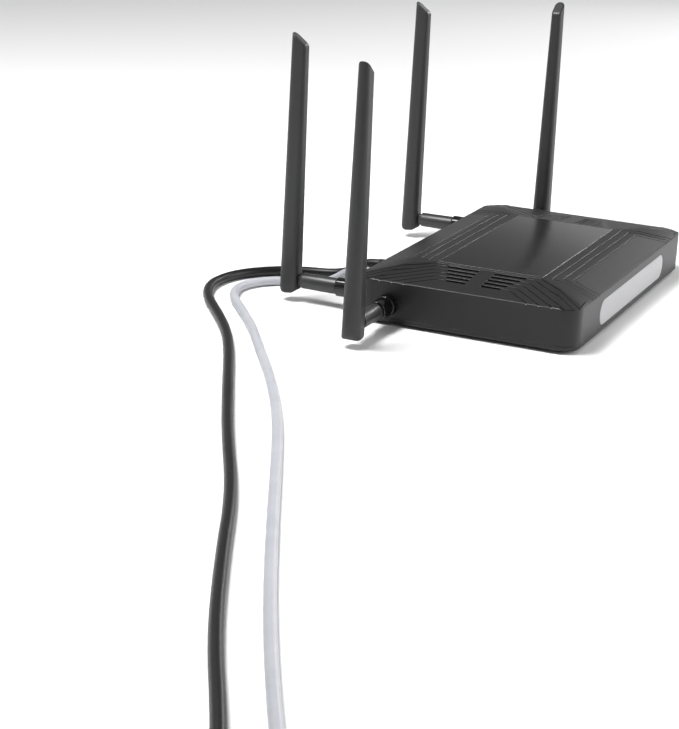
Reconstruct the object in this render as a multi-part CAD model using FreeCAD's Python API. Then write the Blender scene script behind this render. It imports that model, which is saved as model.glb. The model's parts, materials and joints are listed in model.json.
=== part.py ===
import FreeCAD, Part
import math
import os

# Wireless router with four folding antennas, a power lead and a network patch lead.
# Millimetres. +X along the length, +Y towards the rear sockets, +Z up.
# The origin is under the middle of the router (antennas included), on the surface that it stands on.

V = FreeCAD.Vector
UP = V(0, 0, 1)

# --- driving dimensions: case ---
body_length = 252.0
body_depth = 148.0
wall_height = 27.3        # side walls, underside to the top edge
crown_height = 4.7        # flat top above the top edge of the walls
corner_radius = 13.0
wall = 2.0                # thickness of walls and roof
floor_thickness = 2.0
rim_height = 3.2          # bottom cover's visible rim
lip_thickness = 1.2       # bottom cover's inner lip
lip_height = 3.0
lip_clearance = 0.2
lip_sink = 0.5            # overlap where a lip, boss or peg is joined to its base
foot_height = 2.0         # feet below the case
brim_chamfer = 0.7        # bright edge round the top
base_fillet = 1.5

# --- driving dimensions: top cover ---
panel_length = 156.0
panel_depth = 71.4
panel_thickness = 1.2
panel_gap = 0.15
shelf_depth = 104.0       # flat part of the crown, front to rear
groove_width = 0.8
groove_depth = 0.5
groove_pitch = 6.1
front_groove_margin = 0.4 # panel edge to where the front grooves' pitch starts
side_groove_margin = 0.9
border_margin = 3.4       # panel end to the border line
front_groove_step = 3.2   # each front groove turns this much sooner than the last
groove_overrun = 4.0      # grooves run this far past the walls
front_groove_count = 3
side_groove_count = 5
side_groove_bend = 9.0    # radius at which a side groove turns to the corner
side_groove_run = 6.0     # from its slot's end to that turn
cut_margin = 1.0          # cutting tools reach this far past what they cut
vent_width = 3.4
vent_gap = 10.4           # bridge between the two groups of slots
vent_length_inner = 21.4  # slot beside the panel
vent_length_outer = 13.2  # slot nearest the side wall

# --- driving dimensions: front window and lamps ---
window_length = 151.0
window_height = 17.0
window_thickness = 1.2
window_rise = 12.8        # window centre above the underside
lamp_count = 6
lamp_pitch = 12.0
lamp_hole_radius = 1.3

# --- driving dimensions: circuit board and sockets ---
board_length = 224.0
board_depth = 130.0
board_thickness = 1.6
board_front_gap = 5.0     # board edge behind the front wall's inner face
standoff_height = 4.0
standoff_radius = 3.0
peg_radius = 1.5
peg_clearance = 0.1
peg_proud = 0.8           # pegs above the board
jack_width = 16.0
jack_height = 13.4
jack_depth = 21.0
jack_proud = 0.5          # sockets stand this far out of the rear wall
jack_fit = 0.2            # gap round each socket in the wall
jack_mouth_width = 12.0
jack_mouth_height = 8.4
jack_mouth_depth = 15.0
jack_floor = 2.3
latch_width = 6.2
latch_depth = 1.5
contact_pitch = 1.02
contact_size = [0.4, 9.0, 0.3]
contact_count = 8
wan_x = -68.0
lan_x = [4.0, 21.0, 38.0, 55.0]
dc_x = -40.0
dc_width = 9.0
dc_height = 11.0
dc_depth = 14.0
dc_bore = 3.1             # radius of the socket's bore
dc_bore_depth = 11.0
dc_pin_radius = 1.0
dc_pin_recess = 2.0
power_button_x = -22.0
power_button_size = 8.0
power_button_proud = 3.0
power_button_travel = 1.5
wps_button_x = 74.0
wps_button_radius = 2.2
wps_button_proud = 1.0
wps_button_travel = 0.8
button_clearance = 0.3
stem_size = 3.0
stem_clearance = 0.1
button_round = 0.6
power_stem_length = 4.0   # inside the switch
wps_stem_length = 3.0
button_rise = 5.6         # button axes above the board
switch_gap = 3.0          # switches behind the rear wall's inner face
power_switch_size = [9.0, 9.0, 8.6]
wps_switch_size = [7.0, 6.0, 8.0]

# --- driving dimensions: pieces on the board, x and y from the middle of the case ---
can_places = [(-62.0, -8.0), (62.0, -8.0)]
can_size = [46.0, 34.0, 4.0]
can_wall = 0.3
chip_height = 1.2
chips = [(0.0, -8.0, 19.0), (34.0, -40.0, 12.0), (-34.0, -40.0, 12.0)]
sink_size = [40.0, 36.0]
sink_base = 2.0
fin_height = 7.0
fin_count = 9
fin_thickness = 1.2
transformer_size = [14.0, 9.0, 5.6]
transformer_y = 38.0
capacitor_radius = 3.1
capacitor_height = 11.0
capacitor_places = [(-36.0, 40.0), (-28.0, 32.0), (-44.0, 32.0), (-8.0, 36.0)]
lamp_size = [3.0, 2.0, 1.2]
lamp_inset = 1.0          # lamps behind the board's front edge
guide_margin = 4.0        # light guide past the end lamps
guide_depth = 4.0
guide_rise = 2.0          # light guide above the window's centre
finger_clearance = 0.1
coax_radius = 0.7
coax_plug_radius = 1.6
coax_plug_height = 2.2
coax_rise = 6.0
coax_plugs = [(-92.0, 40.0), (-96.0, 22.0), (96.0, 22.0), (92.0, 40.0)]

# --- driving dimensions: antennas ---
rear_antenna_x = 105.0
side_antenna_y = 50.0     # behind the middle of the case
arm_rise = 12.1           # arm axis above the underside
rear_reach = 54.3         # wall to the blade's axis
side_reach = 55.2
blade_length = 166.0      # mean length, slanted tip
tip_drop = 8.0
blade_base = [13.4, 12.8] # along the arm, across the arm
blade_tip = [10.5, 7.2]
blade_drop = 8.6          # blade's end below the arm axis
hinge_gap = 0.5           # between the blade's end and the arm's shoulder
socket_length = 20.0
socket_radius = 6.3
socket_flange_radius = 6.9
socket_flange_thickness = 7.0
neck_hole_clearance = 0.1
socket_neck_radius = 4.6
socket_lip = 1.2          # thickness behind the wall
socket_lip_proud = 0.9    # lip past the neck
socket_round = 0.8
shaft_end_room = 0.5
arm_shaft_radius = 4.0
arm_shaft_length = 14.0
running_gap = 0.05
arm_end_gap = 0.3         # arm's shoulder off the socket's end
arm_radius_root = 5.3
arm_radius_end = 5.1
arm_chamfer = 0.6
tongue_width = 5.0
tongue_height = 7.1
slot_gap = 0.2            # each side of the tongue
slot_end_gap = 0.35       # round the tongue's end
heel_radius = 4.0         # blade's outer heel
blade_outer_round = 0.92  # corner radii of the blade's section, in half widths
blade_inner_round = 0.6
hinge_pin_radius = 1.5
hinge_pin_length = 11.6
coax_bore = 1.5
coax_wall = 6.0           # solid end of the arm's bore behind the tongue
element_bore = 2.6
element_clearance = 0.1
element_rise = 3.0        # element's foot above the hinge slot
element_feed_bore = 1.0
blade_solid_tip = 40.0    # blade without a bore, hinge and tip together
sleeve_length = 34.0
element_rod = [0.8, 52.0] # radius and length
former_length = 14.0

# --- driving dimensions: screws and feet ---
foot_radius = 7.0
foot_recess = 0.6
foot_clearance = 0.1
foot_round = 0.6
foot_x = 98.0
foot_y = 46.0
screw_radius = 1.4
screw_head_radius = 2.8
screw_head_height = 1.8
screw_clearance = 0.05
shank_clearance = 0.3
head_clearance = 0.4
recess_size = [3.6, 0.9, 1.0]
screw_length = 12.0
screw_depth = 1.4         # head's seat above the inner floor
boss_radius = 4.5
boss_room = 1.0           # board's holes round the bosses
post_radius = 4.0
post_height = 5.0         # seam between bosses and posts above the floor
screw_places = [(-112.0, -58.0), (112.0, -58.0), (-86.0, 54.0), (86.0, 54.0)]
keyhole_spacing = 120.0
keyhole_radius = 3.8
keyhole_slot = 4.0
keyhole_slot_length = 9.0
cooling_slot = [2.4, 24.0]
cooling_pitch = 7.0
cooling_count = 11
cooling_y = 30.0          # each row from the middle of the case

# --- driving dimensions: leads ---
network_cord = 6.0        # diameters
power_cord = 6.6
network_coil_mean = 12.0  # mean diameter of each coil, in cord diameters
power_coil_mean = 11.0
coil_turns_wide = 2
coil_turns_high = 2
coil_round = 0.45         # edge radius of a coil's solid, in cord diameters
exit_turn = 12.0          # degrees from where the lead enters its coil to where it leaves
tail_length = 29.0        # coil to far end
tie_thickness = 0.8
tie_width = 6.0
plug_width = 11.6
plug_height = 8.0
plug_length = 21.5
plug_insert = 12.0        # nose of the network plug inside its socket
latch_width_half = 2.9
latch_thickness = 0.8
latch_gap = 0.4
latch_length = 13.0
latch_root = 2.0          # from the nose, and as long again where it joins the plug
boot_length = 9.0
boot_radius = 4.0
boot_end_wall = 0.6
barrel_radius = 2.75
barrel_length = 9.5
handle_radius = 5.0
handle_length = 11.0
handle_round = 0.8
pin_clearance = 0.25      # round the socket's pin, in the barrel
handle_gap = 0.2          # power plug's handle off its socket
relief_length = 7.0
relief_wall = 0.4
relief_sink = 0.5
relief_radius = 5.0       # adapter's relief, at the adapter
adapter_size = [46.0, 70.0, 30.0]
adapter_round = 3.0
adapter_relief = 14.0
pin_size = [1.5, 17.0, 6.3]
pin_spacing = 12.7

# --- derived levels and places ---
middle_y = -(rear_reach + blade_base[0] / 2) / 2     # middle of the case
front_y = middle_y - body_depth / 2
rear_y = middle_y + body_depth / 2
side_x = body_length / 2
under_z = foot_height
seam_z = under_z + rim_height
brim_z = under_z + wall_height
crown_z = brim_z + crown_height
floor_z = under_z + floor_thickness
board_z = floor_z + standoff_height
board_top = board_z + board_thickness
arm_z = under_z + arm_rise
window_z = under_z + window_rise
button_z = board_top + button_rise
screw_seat = floor_z + screw_depth
dc_z = board_top + dc_height / 2
network_z = board_top + jack_floor + plug_height / 2
socket_face_y = rear_y + jack_proud
network_exit_y = socket_face_y - plug_insert + plug_length + boot_length
power_exit_y = socket_face_y + handle_gap + handle_length + relief_length
board_front = front_y + wall + board_front_gap
board_rear = board_front + board_depth
peg_places = [(x, y) for x in (-0.42 * board_length, 0.42 * board_length)
              for y in (board_front + 22.0, board_front + 80.0)]


def box(low, high):
    size = [h - l for l, h in zip(low, high)]
    return Part.makeBox(size[0], size[1], size[2], V(*low))


def rod(radius, start, end):
    start = V(*start)
    along = V(*end) - start
    return Part.makeCylinder(radius, along.Length, start, along)


def joined(shapes):
    whole = shapes[0].multiFuse(shapes[1:])
    return whole.removeSplitter()


def quarter_arc(centre, radius, quarter):
    """Three points of a quarter circle in plan, counter-clockwise from its quarter's start."""
    angles = [math.pi / 4 * (2 * quarter + step) for step in range(3)]
    return [centre + V(radius * math.cos(t), radius * math.sin(t), 0) for t in angles]


def closed_wire(arcs):
    """Arcs given by three points each, joined end to start by straight edges."""
    edges = []
    for arc, following in zip(arcs, arcs[1:] + arcs[:1]):
        edges.append(Part.Arc(*arc).toShape())
        edges.append(Part.LineSegment(arc[2], following[0]).toShape())
    return Part.Wire(edges)


def rounded_wire(length, depth, radius, z):
    """Rectangle with round corners round the middle of the case, at height z."""
    arcs = []
    for quarter, (sx, sy) in enumerate([(1, 1), (-1, 1), (-1, -1), (1, -1)]):
        centre = V(sx * (length / 2 - radius), middle_y + sy * (depth / 2 - radius), z)
        arcs.append(quarter_arc(centre, radius, quarter))
    return closed_wire(arcs)


def slab(inset, z_low, z_high):
    """The case's outline, drawn in by inset, between two heights."""
    wire = rounded_wire(body_length - 2 * inset, body_depth - 2 * inset, corner_radius - inset, z_low)
    return Part.Face(wire).extrude(V(0, 0, z_high - z_low))


def tube(points, radius):
    """Straight runs joined by tangent arcs, each as large as 0.45 of its shorter run allows."""
    points = [V(*p) for p in points]
    edges = []
    radii = []
    here = points[0]
    for before, corner, after in zip(points, points[1:], points[2:]):
        to_corner = (corner - before).normalize()
        from_corner = (after - corner).normalize()
        turn = to_corner.getAngle(from_corner)
        reach = 0.45 * min((corner - before).Length, (after - corner).Length)
        radii.append(reach / math.tan(turn / 2))
        start = corner - to_corner * reach
        end = corner + from_corner * reach
        inward = (from_corner - to_corner).normalize()
        centre = corner + inward * (radii[-1] / math.cos(turn / 2))
        middle = centre - inward * radii[-1]
        edges.append(Part.LineSegment(here, start).toShape())
        edges.append(Part.Arc(start, middle, end).toShape())
        here = end
    edges.append(Part.LineSegment(here, points[-1]).toShape())
    path = Part.Wire(edges)
    circle = Part.Circle(points[0], (points[1] - points[0]).normalize(), radius)
    section = Part.Wire([circle.toShape()])
    return path.makePipeShell([section], True, False), path.Length, radii


def lead_tube(name, points, diameter):
    """A lead's tube, with its length and bends reported."""
    solid, length, radii = tube(points, diameter / 2)
    expected = math.pi * diameter ** 2 / 4 * length
    print(name, "length", round(length, 1), "volume ratio", round(solid.Volume / expected, 4),
          "radii in diameters", [round(r / diameter, 1) for r in radii])
    return solid


# --- top cover ---

def roof_facets(lower):
    """Corners of each sloping facet of the crown, for one quarter (x > 0, y > 0)."""
    half_panel_x = panel_length / 2
    half_panel_y = panel_depth / 2
    half_shelf = shelf_depth / 2
    shelf_x = half_panel_x + half_shelf - half_panel_y
    a = V(half_panel_x, half_panel_y, crown_z)
    b = V(shelf_x, half_shelf, crown_z)
    d = V(side_x, body_depth / 2 - corner_radius, brim_z)
    e = V(side_x - corner_radius, body_depth / 2, brim_z)
    beyond = corner_radius + cut_margin
    middle = V(half_panel_x, -cut_margin, crown_z)
    side_end = V(side_x, -cut_margin, brim_z)

    def past(p, q):
        return q + (q - p).normalize() * beyond

    side = [middle, a, d, past(V(a.x, d.y, a.z), d), past(middle, side_end)]
    sliver = [a, b, d]
    out = (d + e) * 0.5 - b
    slope_out = out * (beyond / out.Length)
    corner = [b, e, e + slope_out, d + slope_out, d]
    front_mid = V(-cut_margin, half_shelf, crown_z)
    front_edge = V(-cut_margin, body_depth / 2, brim_z)
    front = [front_mid, b, e, past(V(e.x, b.y, b.z), e), past(front_mid, front_edge)]
    shift = V(0, middle_y, -lower)
    return [[p + shift for p in facet] for facet in (side, sliver, corner, front)]


def roof_block(inset, lower, z_low):
    """Solid from z_low up to the crown's facets, within the outline drawn in by inset."""
    block = slab(inset, z_low, crown_z - lower)
    for facet in roof_facets(lower):
        face = Part.Face(Part.makePolygon(facet + [facet[0]]))
        for piece in mirrored([face.extrude(V(0, 0, 4 * crown_height))]):
            block = block.cut(piece)
    return block



def brim_taper():
    """Cone-cornered block that takes the sharp edge off the top of the walls."""
    rise = crown_height + 2 * cut_margin
    low = rounded_wire(body_length, body_depth, corner_radius, brim_z - brim_chamfer)
    high = rounded_wire(body_length - 2 * rise, body_depth - 2 * rise, corner_radius - rise,
                        brim_z - brim_chamfer + rise)
    return Part.makeLoft([low, high], True, True)


def ribbon(points, width, z_low, z_high, bend=0.0):
    """Upright wall of a given width along a line in plan, with round bends where asked."""
    pieces = []
    points = [V(p[0], p[1], z_low) for p in points]
    rise = V(0, 0, z_high - z_low)
    ends = [points[0]]
    for before, corner, after in zip(points, points[1:], points[2:]):
        if bend:
            to_corner = (corner - before).normalize()
            from_corner = (after - corner).normalize()
            turn = to_corner.getAngle(from_corner)
            reach = bend * math.tan(turn / 2)
            inward = (from_corner - to_corner).normalize()
            centre = corner + inward * (bend / math.cos(turn / 2))
            start = corner - to_corner * reach
            end = corner + from_corner * reach
            arcs = []
            for radius in (bend - width / 2, bend + width / 2):
                spots = [centre + (p - centre).normalize() * radius for p in (start, corner, end)]
                arcs.append(Part.Arc(*spots).toShape())
            sides = [Part.LineSegment(arcs[0].Vertexes[k].Point, arcs[1].Vertexes[k].Point).toShape()
                     for k in (0, 1)]
            pieces.append(Part.Face(Part.Wire([arcs[0], sides[1], arcs[1], sides[0]])).extrude(rise))
            ends += [start, end]
        else:
            pieces.append(Part.makeCylinder(width / 2, rise.z, corner))
            ends += [corner, corner]
    ends.append(points[-1])
    for start, end in zip(ends[::2], ends[1::2]):
        along = (end - start).normalize()
        across = V(-along.y, along.x, 0) * (width / 2)
        corners = [start - across, end - across, end + across, start + across]
        pieces.append(Part.Face(Part.makePolygon(corners + [corners[0]])).extrude(rise))
    return joined(pieces) if len(pieces) > 1 else pieces[0]


def side_groove_x(k):
    return panel_length / 2 + side_groove_margin + groove_pitch * (k + 1)


def vent_reach(k):
    """Outer end of slot k, from the middle of the case; slots shorten towards the wall."""
    share = k / (side_groove_count - 1)
    return vent_gap / 2 + vent_length_inner + share * (vent_length_outer - vent_length_inner)


def outward(points, x, y):
    """Line in plan that ends at 45 degrees, past the front or side wall."""
    far = max(side_x - x, body_depth / 2 - y) + groove_overrun
    return points + [(x, y), (x + far, y + far)]


def groove_lines():
    """Plan line and bend of each groove, for one quarter (x > 0, y > 0, from the middle of the case)."""
    lines = []
    for k in range(front_groove_count):
        y = panel_depth / 2 + front_groove_margin + groove_pitch * (k + 1)
        bend_x = panel_length / 2 + 3.0 - front_groove_step * (k + 1)
        past = body_depth / 2 + groove_overrun - y
        lines.append(([(0.0, y), (bend_x, y), (bend_x + 0.5 * past, y + past)], 0.0))
    for k in range(side_groove_count):
        x = side_groove_x(k)
        turn_y = vent_reach(k) + side_groove_run
        lines.append((outward([(x, vent_reach(k))], x, turn_y), side_groove_bend))
    border_x = panel_length / 2 + border_margin
    lines.append((outward([(border_x, 0.0)], border_x, panel_depth / 2), 0.0))
    return lines


def top_cover():
    outer = roof_block(0.0, 0.0, seam_z).common(brim_taper_with_walls())
    cavity = roof_block(wall, wall, seam_z - cut_margin)
    shell = outer.cut(cavity)
    posts = [screw_post(x, y) for x, y in screw_places]
    shell = joined([shell] + posts)
    skin = outer.cut(outer.translated(V(0, 0, -groove_depth)))
    quarter = []
    for line, bend in groove_lines():
        line = [(x, y + middle_y) for x, y in line]
        quarter.append(ribbon(line, groove_width, brim_z - wall, crown_z + cut_margin, bend))
    shell = shell.cut(joined(mirrored(quarter)).common(skin))
    shell = shell.cut(Part.makeCompound(mirrored([vent_slot(k) for k in range(side_groove_count)])))
    panel_seat = box((-panel_length / 2, middle_y - panel_depth / 2, crown_z - panel_thickness),
                     (panel_length / 2, middle_y + panel_depth / 2, crown_z + cut_margin))
    shell = shell.cut(panel_seat)
    seat_y = front_y + window_thickness
    shell = shell.cut(window_shape(window_length, window_height, front_y - cut_margin, seat_y))
    for x in lamp_xs():
        shell = shell.cut(rod(lamp_hole_radius, (x, front_y, window_z), (x, seat_y + wall, window_z)))
    for opening in rear_openings():
        shell = shell.cut(opening)
    for angle, spot in antenna_spots():
        hole = rod(socket_neck_radius + neck_hole_clearance, (-2 * wall, 0, 0), (wall, 0, 0))
        shell = shell.cut(placed(hole, angle, spot))
    return shell



def brim_taper_with_walls():
    walls = slab(0.0, seam_z - cut_margin, brim_z - brim_chamfer)
    return joined([walls, brim_taper()])


def mirrored(shapes):
    """Shapes of one quarter and their mirror images in the other three."""
    copies = []
    for shape in shapes:
        across = shape.mirror(V(0, middle_y, 0), V(1, 0, 0))
        copies += [shape, across]
        copies += [s.mirror(V(0, middle_y, 0), V(0, 1, 0)) for s in (shape, across)]
    return copies


def vent_slot(k):
    x = side_groove_x(k)
    return box((x - vent_width / 2, middle_y + vent_gap / 2, brim_z - 2 * wall),
               (x + vent_width / 2, middle_y + vent_reach(k), crown_z + cut_margin))


def window_shape(length, height, y_low, y_high):
    """Slot-shaped block with round ends, lying along X."""
    half = (length - height) / 2
    middle = box((-half, y_low, window_z - height / 2), (half, y_high, window_z + height / 2))
    ends = [rod(height / 2, (x, y_low, window_z), (x, y_high, window_z)) for x in (-half, half)]
    return joined([middle] + ends)


def lamp_xs():
    return [lamp_pitch * (k - (lamp_count - 1) / 2) for k in range(lamp_count)]


def screw_post(x, y):
    """Hollow post under the roof that a case screw bites into."""
    low = floor_z + post_height
    post = Part.makeCylinder(post_radius, crown_z, V(x, middle_y + y, low))
    post = post.common(roof_block(wall / 2, wall / 2, under_z))
    hole = Part.makeCylinder(screw_radius + screw_clearance, screw_length, V(x, middle_y + y, low))
    return post.cut(hole)


def rear_openings():
    """Windows in the rear wall for the sockets and the buttons."""
    inner_y = rear_y - wall - cut_margin
    outer_y = rear_y + cut_margin
    openings = []
    sockets = [(x, jack_width, jack_height) for x in [wan_x] + lan_x]
    for x, width, height in sockets + [(dc_x, dc_width, dc_height)]:
        openings.append(box((x - width / 2 - jack_fit, inner_y, board_top - jack_fit),
                            (x + width / 2 + jack_fit, outer_y, board_top + height + jack_fit)))
    half = power_button_size / 2 + button_clearance
    openings.append(box((power_button_x - half, inner_y, button_z - half),
                        (power_button_x + half, outer_y, button_z + half)))
    hole_radius = wps_button_radius + button_clearance
    openings.append(rod(hole_radius, (wps_button_x, inner_y, button_z), (wps_button_x, outer_y, button_z)))
    return openings



def top_panel():
    gap = panel_gap
    return box((-panel_length / 2 + gap, middle_y - panel_depth / 2 + gap, crown_z - panel_thickness),
               (panel_length / 2 - gap, middle_y + panel_depth / 2 - gap, crown_z))


def front_window():
    inset = 2 * panel_gap
    return window_shape(window_length - inset, window_height - inset, front_y, front_y + window_thickness)


# --- bottom cover ---

def bottom_pan():
    """Floor and low rim, with the lip that stands inside the top cover."""
    pan = slab(0.0, under_z, seam_z)
    edges = [e for e in pan.Edges if abs(e.BoundBox.ZMax - under_z) < 1e-4]
    pan = pan.makeFillet(base_fillet, edges)
    pan = pan.cut(slab(wall, floor_z, seam_z + cut_margin))
    lip_inset = wall + lip_clearance
    lip = slab(lip_inset, floor_z - lip_sink, seam_z + lip_height)
    lip = lip.cut(slab(lip_inset + lip_thickness, floor_z - cut_margin, seam_z + lip_height + cut_margin))
    for x, y in screw_places:
        room = Part.makeCylinder(post_radius + jack_fit, body_depth, V(x, middle_y + y, floor_z))
        lip = lip.cut(room)
    return [pan, lip]


def standing_rod(radius, x, y, z, height):
    """Upright rod whose foot is sunk a little into what it stands on."""
    return Part.makeCylinder(radius, height + lip_sink, V(x, y, z - lip_sink))


def bottom_cover():
    pieces = bottom_pan()
    for x, y in peg_places:
        pieces.append(standing_rod(standoff_radius, x, y, floor_z, standoff_height))
        pieces.append(standing_rod(peg_radius, x, y, board_z, board_thickness + peg_proud))
    for x, y in screw_places:
        pieces.append(standing_rod(boss_radius, x, middle_y + y, floor_z, post_height))
    pan = joined(pieces)
    below = under_z - cut_margin
    for x, y in screw_places:
        spot = V(x, middle_y + y, below)
        pan = pan.cut(Part.makeCylinder(screw_radius + shank_clearance, wall_height, spot))
        pan = pan.cut(Part.makeCylinder(screw_head_radius + head_clearance, screw_seat - below, spot))
    for x, y in foot_places():
        pan = pan.cut(Part.makeCylinder(foot_radius, foot_recess + cut_margin, V(x, y, below)))
    half = keyhole_slot / 2
    for x in (-keyhole_spacing / 2, keyhole_spacing / 2):
        pan = pan.cut(Part.makeCylinder(keyhole_radius, 3 * floor_thickness, V(x, middle_y, below)))
        pan = pan.cut(box((x - half, middle_y - keyhole_slot_length, below),
                          (x + half, middle_y, floor_z + cut_margin)))
    return pan.cut(Part.makeCompound(cooling_slots()))


def cooling_slots():
    half_x = cooling_slot[0] / 2
    half_y = cooling_slot[1] / 2
    slots = []
    for row in (middle_y - cooling_y, middle_y + cooling_y):
        for k in range(cooling_count):
            x = cooling_pitch * (k - (cooling_count - 1) / 2)
            slots.append(box((x - half_x, row - half_y, under_z - cut_margin),
                             (x + half_x, row + half_y, floor_z + cut_margin)))
    return slots


def foot_places():
    return [(sx * foot_x, middle_y + sy * foot_y) for sx in (-1, 1) for sy in (-1, 1)]


def rubber_feet():
    feet = []
    for x, y in foot_places():
        foot = Part.makeCylinder(foot_radius - foot_clearance, foot_height + foot_recess, V(x, y, 0))
        feet.append(foot.makeFillet(foot_round, [e for e in foot.Edges if e.BoundBox.ZMax < 1e-4]))
    return Part.makeCompound(feet)


def case_screws():
    """Pan-head screws that come up through the bottom cover's bosses into the posts."""
    screws = []
    for x, y in screw_places:
        seat = V(x, middle_y + y, screw_seat)
        head = Part.makeCylinder(screw_head_radius, screw_head_height, seat, V(0, 0, -1))
        shank = Part.makeCylinder(screw_radius, screw_length, seat)
        long, narrow, deep = recess_size
        recess = Part.makeBox(long, narrow, deep, seat + V(-long / 2, -narrow / 2, -screw_head_height))
        cross = Part.makeBox(narrow, long, deep, seat + V(-narrow / 2, -long / 2, -screw_head_height))
        screws.append(head.fuse(shank).cut(recess).cut(cross))
    return Part.makeCompound(screws)


# --- electronics ---

def circuit_board():
    board = box((-board_length / 2, board_front, board_z), (board_length / 2, board_rear, board_top))
    below = board_z - cut_margin
    for x, y in peg_places:
        board = board.cut(Part.makeCylinder(peg_radius + peg_clearance, wall_height, V(x, y, below)))
    for x, y in screw_places:
        board = board.cut(Part.makeCylinder(boss_radius + boss_room, wall_height, V(x, middle_y + y, below)))
    return board


def network_jack(x):
    """Shielded socket: a mouth with a latch groove under it, open to the rear."""
    body = box((x - jack_width / 2, socket_face_y - jack_depth, board_top),
               (x + jack_width / 2, socket_face_y, board_top + jack_height))
    low = board_top + jack_floor
    back = socket_face_y - jack_mouth_depth
    mouth = box((x - jack_mouth_width / 2, back, low),
                (x + jack_mouth_width / 2, socket_face_y + cut_margin, low + jack_mouth_height))
    latch = box((x - latch_width / 2, back, low - latch_depth),
                (x + latch_width / 2, socket_face_y + cut_margin, low + latch_depth))
    return body.cut(mouth).cut(latch)


def jack_contacts():
    """Eight gilt contacts under the roof of every socket's mouth."""
    contacts = []
    roof = board_top + jack_floor + jack_mouth_height
    back = socket_face_y - jack_mouth_depth
    for x in [wan_x] + lan_x:
        for k in range(contact_count):
            left = x + contact_pitch * (k - (contact_count - 1) / 2) - contact_size[0] / 2
            contacts.append(box((left, back, roof - contact_size[2]),
                                (left + contact_size[0], back + contact_size[1], roof)))
    return Part.makeCompound(contacts)


def dc_jack():
    body = box((dc_x - dc_width / 2, socket_face_y - dc_depth, board_top),
               (dc_x + dc_width / 2, socket_face_y, board_top + dc_height))
    back = socket_face_y - dc_bore_depth
    body = body.cut(rod(dc_bore, (dc_x, back, dc_z), (dc_x, socket_face_y + cut_margin, dc_z)))
    pin = rod(dc_pin_radius, (dc_x, back - cut_margin, dc_z), (dc_x, socket_face_y - dc_pin_recess, dc_z))
    return joined([body, pin])



def switch_body(x, size):
    """Switch on the board whose socket guides a button's stem."""
    width, depth, height = size
    front = rear_y - wall - switch_gap
    body = box((x - width / 2, front - depth, board_top), (x + width / 2, front, board_top + height))
    half = stem_size / 2 + stem_clearance
    guide = box((x - half, front - depth + cut_margin, button_z - half),
                (x + half, front + cut_margin, button_z + half))
    return body.cut(guide)


def stem(x, length):
    """Square stem from a button's back into its switch."""
    half = stem_size / 2
    inner_y = rear_y - wall
    low = (x - half, inner_y - switch_gap - length, button_z - half)
    return box(low, (x + half, inner_y, button_z + half))


def power_button():
    half = power_button_size / 2
    cap = box((power_button_x - half, rear_y - wall, button_z - half),
              (power_button_x + half, rear_y + power_button_proud, button_z + half))
    face_y = rear_y + power_button_proud
    cap = cap.makeFillet(button_round, [e for e in cap.Edges if e.BoundBox.YMax > face_y - 1e-4])
    return joined([cap, stem(power_button_x, power_stem_length)])


def wps_button():
    cap = rod(wps_button_radius, (wps_button_x, rear_y - wall, button_z),
              (wps_button_x, rear_y + wps_button_proud, button_z))
    return joined([cap, stem(wps_button_x, wps_stem_length)])


def on_board(x, y, size):
    """Block standing on the board, x and y its middle, measured from the middle of the case."""
    length, depth, height = size
    return box((x - length / 2, middle_y + y - depth / 2, board_top),
               (x + length / 2, middle_y + y + depth / 2, board_top + height))


def shield_cans():
    cans = []
    inner = [can_size[0] - 2 * can_wall, can_size[1] - 2 * can_wall, can_size[2] - can_wall]
    for x, y in can_places:
        cans.append(on_board(x, y, can_size).cut(on_board(x, y, inner)))
    return Part.makeCompound(cans)


def main_chips():
    return Part.makeCompound([on_board(x, y, (size, size, chip_height)) for x, y, size in chips])


def heat_sink():
    """Finned aluminium block on the processor, the first of the chips."""
    x = chips[0][0] - sink_size[0] / 2
    y = middle_y + chips[0][1] - sink_size[1] / 2
    low = board_top + chip_height
    pieces = [box((x, y, low), (x + sink_size[0], y + sink_size[1], low + sink_base))]
    pitch = (sink_size[0] - fin_thickness) / (fin_count - 1)
    for k in range(fin_count):
        pieces.append(box((x + pitch * k, y, low + sink_base / 2),
                          (x + pitch * k + fin_thickness, y + sink_size[1], low + sink_base + fin_height)))
    return joined(pieces)


def line_transformers():
    return Part.makeCompound([on_board(x, transformer_y, transformer_size) for x in [wan_x] + lan_x])


def capacitors():
    cans = []
    for x, y in capacitor_places:
        cans.append(Part.makeCylinder(capacitor_radius, capacitor_height, V(x, middle_y + y, board_top)))
    return Part.makeCompound(cans)


def status_lamps():
    """Surface lamps at the board's front edge, one behind each light-guide finger."""
    length, depth, height = lamp_size
    low_y = board_front + lamp_inset
    lamps = []
    for x in lamp_xs():
        low = (x - length / 2, low_y, board_top)
        lamps.append(box(low, (x + length / 2, low_y + depth, board_top + height)))
    return Part.makeCompound(lamps)


def light_guide():
    """Clear bar over the lamps with a finger into each hole behind the window."""
    half = lamp_pitch * (lamp_count - 1) / 2 + guide_margin
    low = board_top + lamp_size[2]
    front = board_front - lamp_inset
    pieces = [box((-half, front, low), (half, front + guide_depth, window_z + guide_rise))]
    radius = lamp_hole_radius - finger_clearance
    for x in lamp_xs():
        pieces.append(rod(radius, (x, front_y + window_thickness, window_z), (x, board_front, window_z)))
    return joined(pieces)


def antenna_leads():
    """Thin coaxial leads from each antenna socket to its connector on the board."""
    leads = []
    plugs = []
    for (angle, spot), (x, y) in zip(antenna_spots(), coax_plugs):
        normal = V(math.cos(math.radians(angle)), math.sin(math.radians(angle)), 0)
        start = V(*spot) - normal * (wall + socket_lip)
        first = start - normal * coax_rise
        plug = V(x, middle_y + y, board_top)
        plugs.append(Part.makeCylinder(coax_plug_radius, coax_plug_height, plug))
        end = plug + V(0, 0, coax_plug_height)
        rise = end + V(0, 0, coax_rise)
        leads.append(tube([start, first, rise, end], coax_radius)[0])
    return Part.makeCompound(leads), Part.makeCompound(plugs)



# --- antennas, drawn along +X from the wall and turned into place ---

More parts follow.
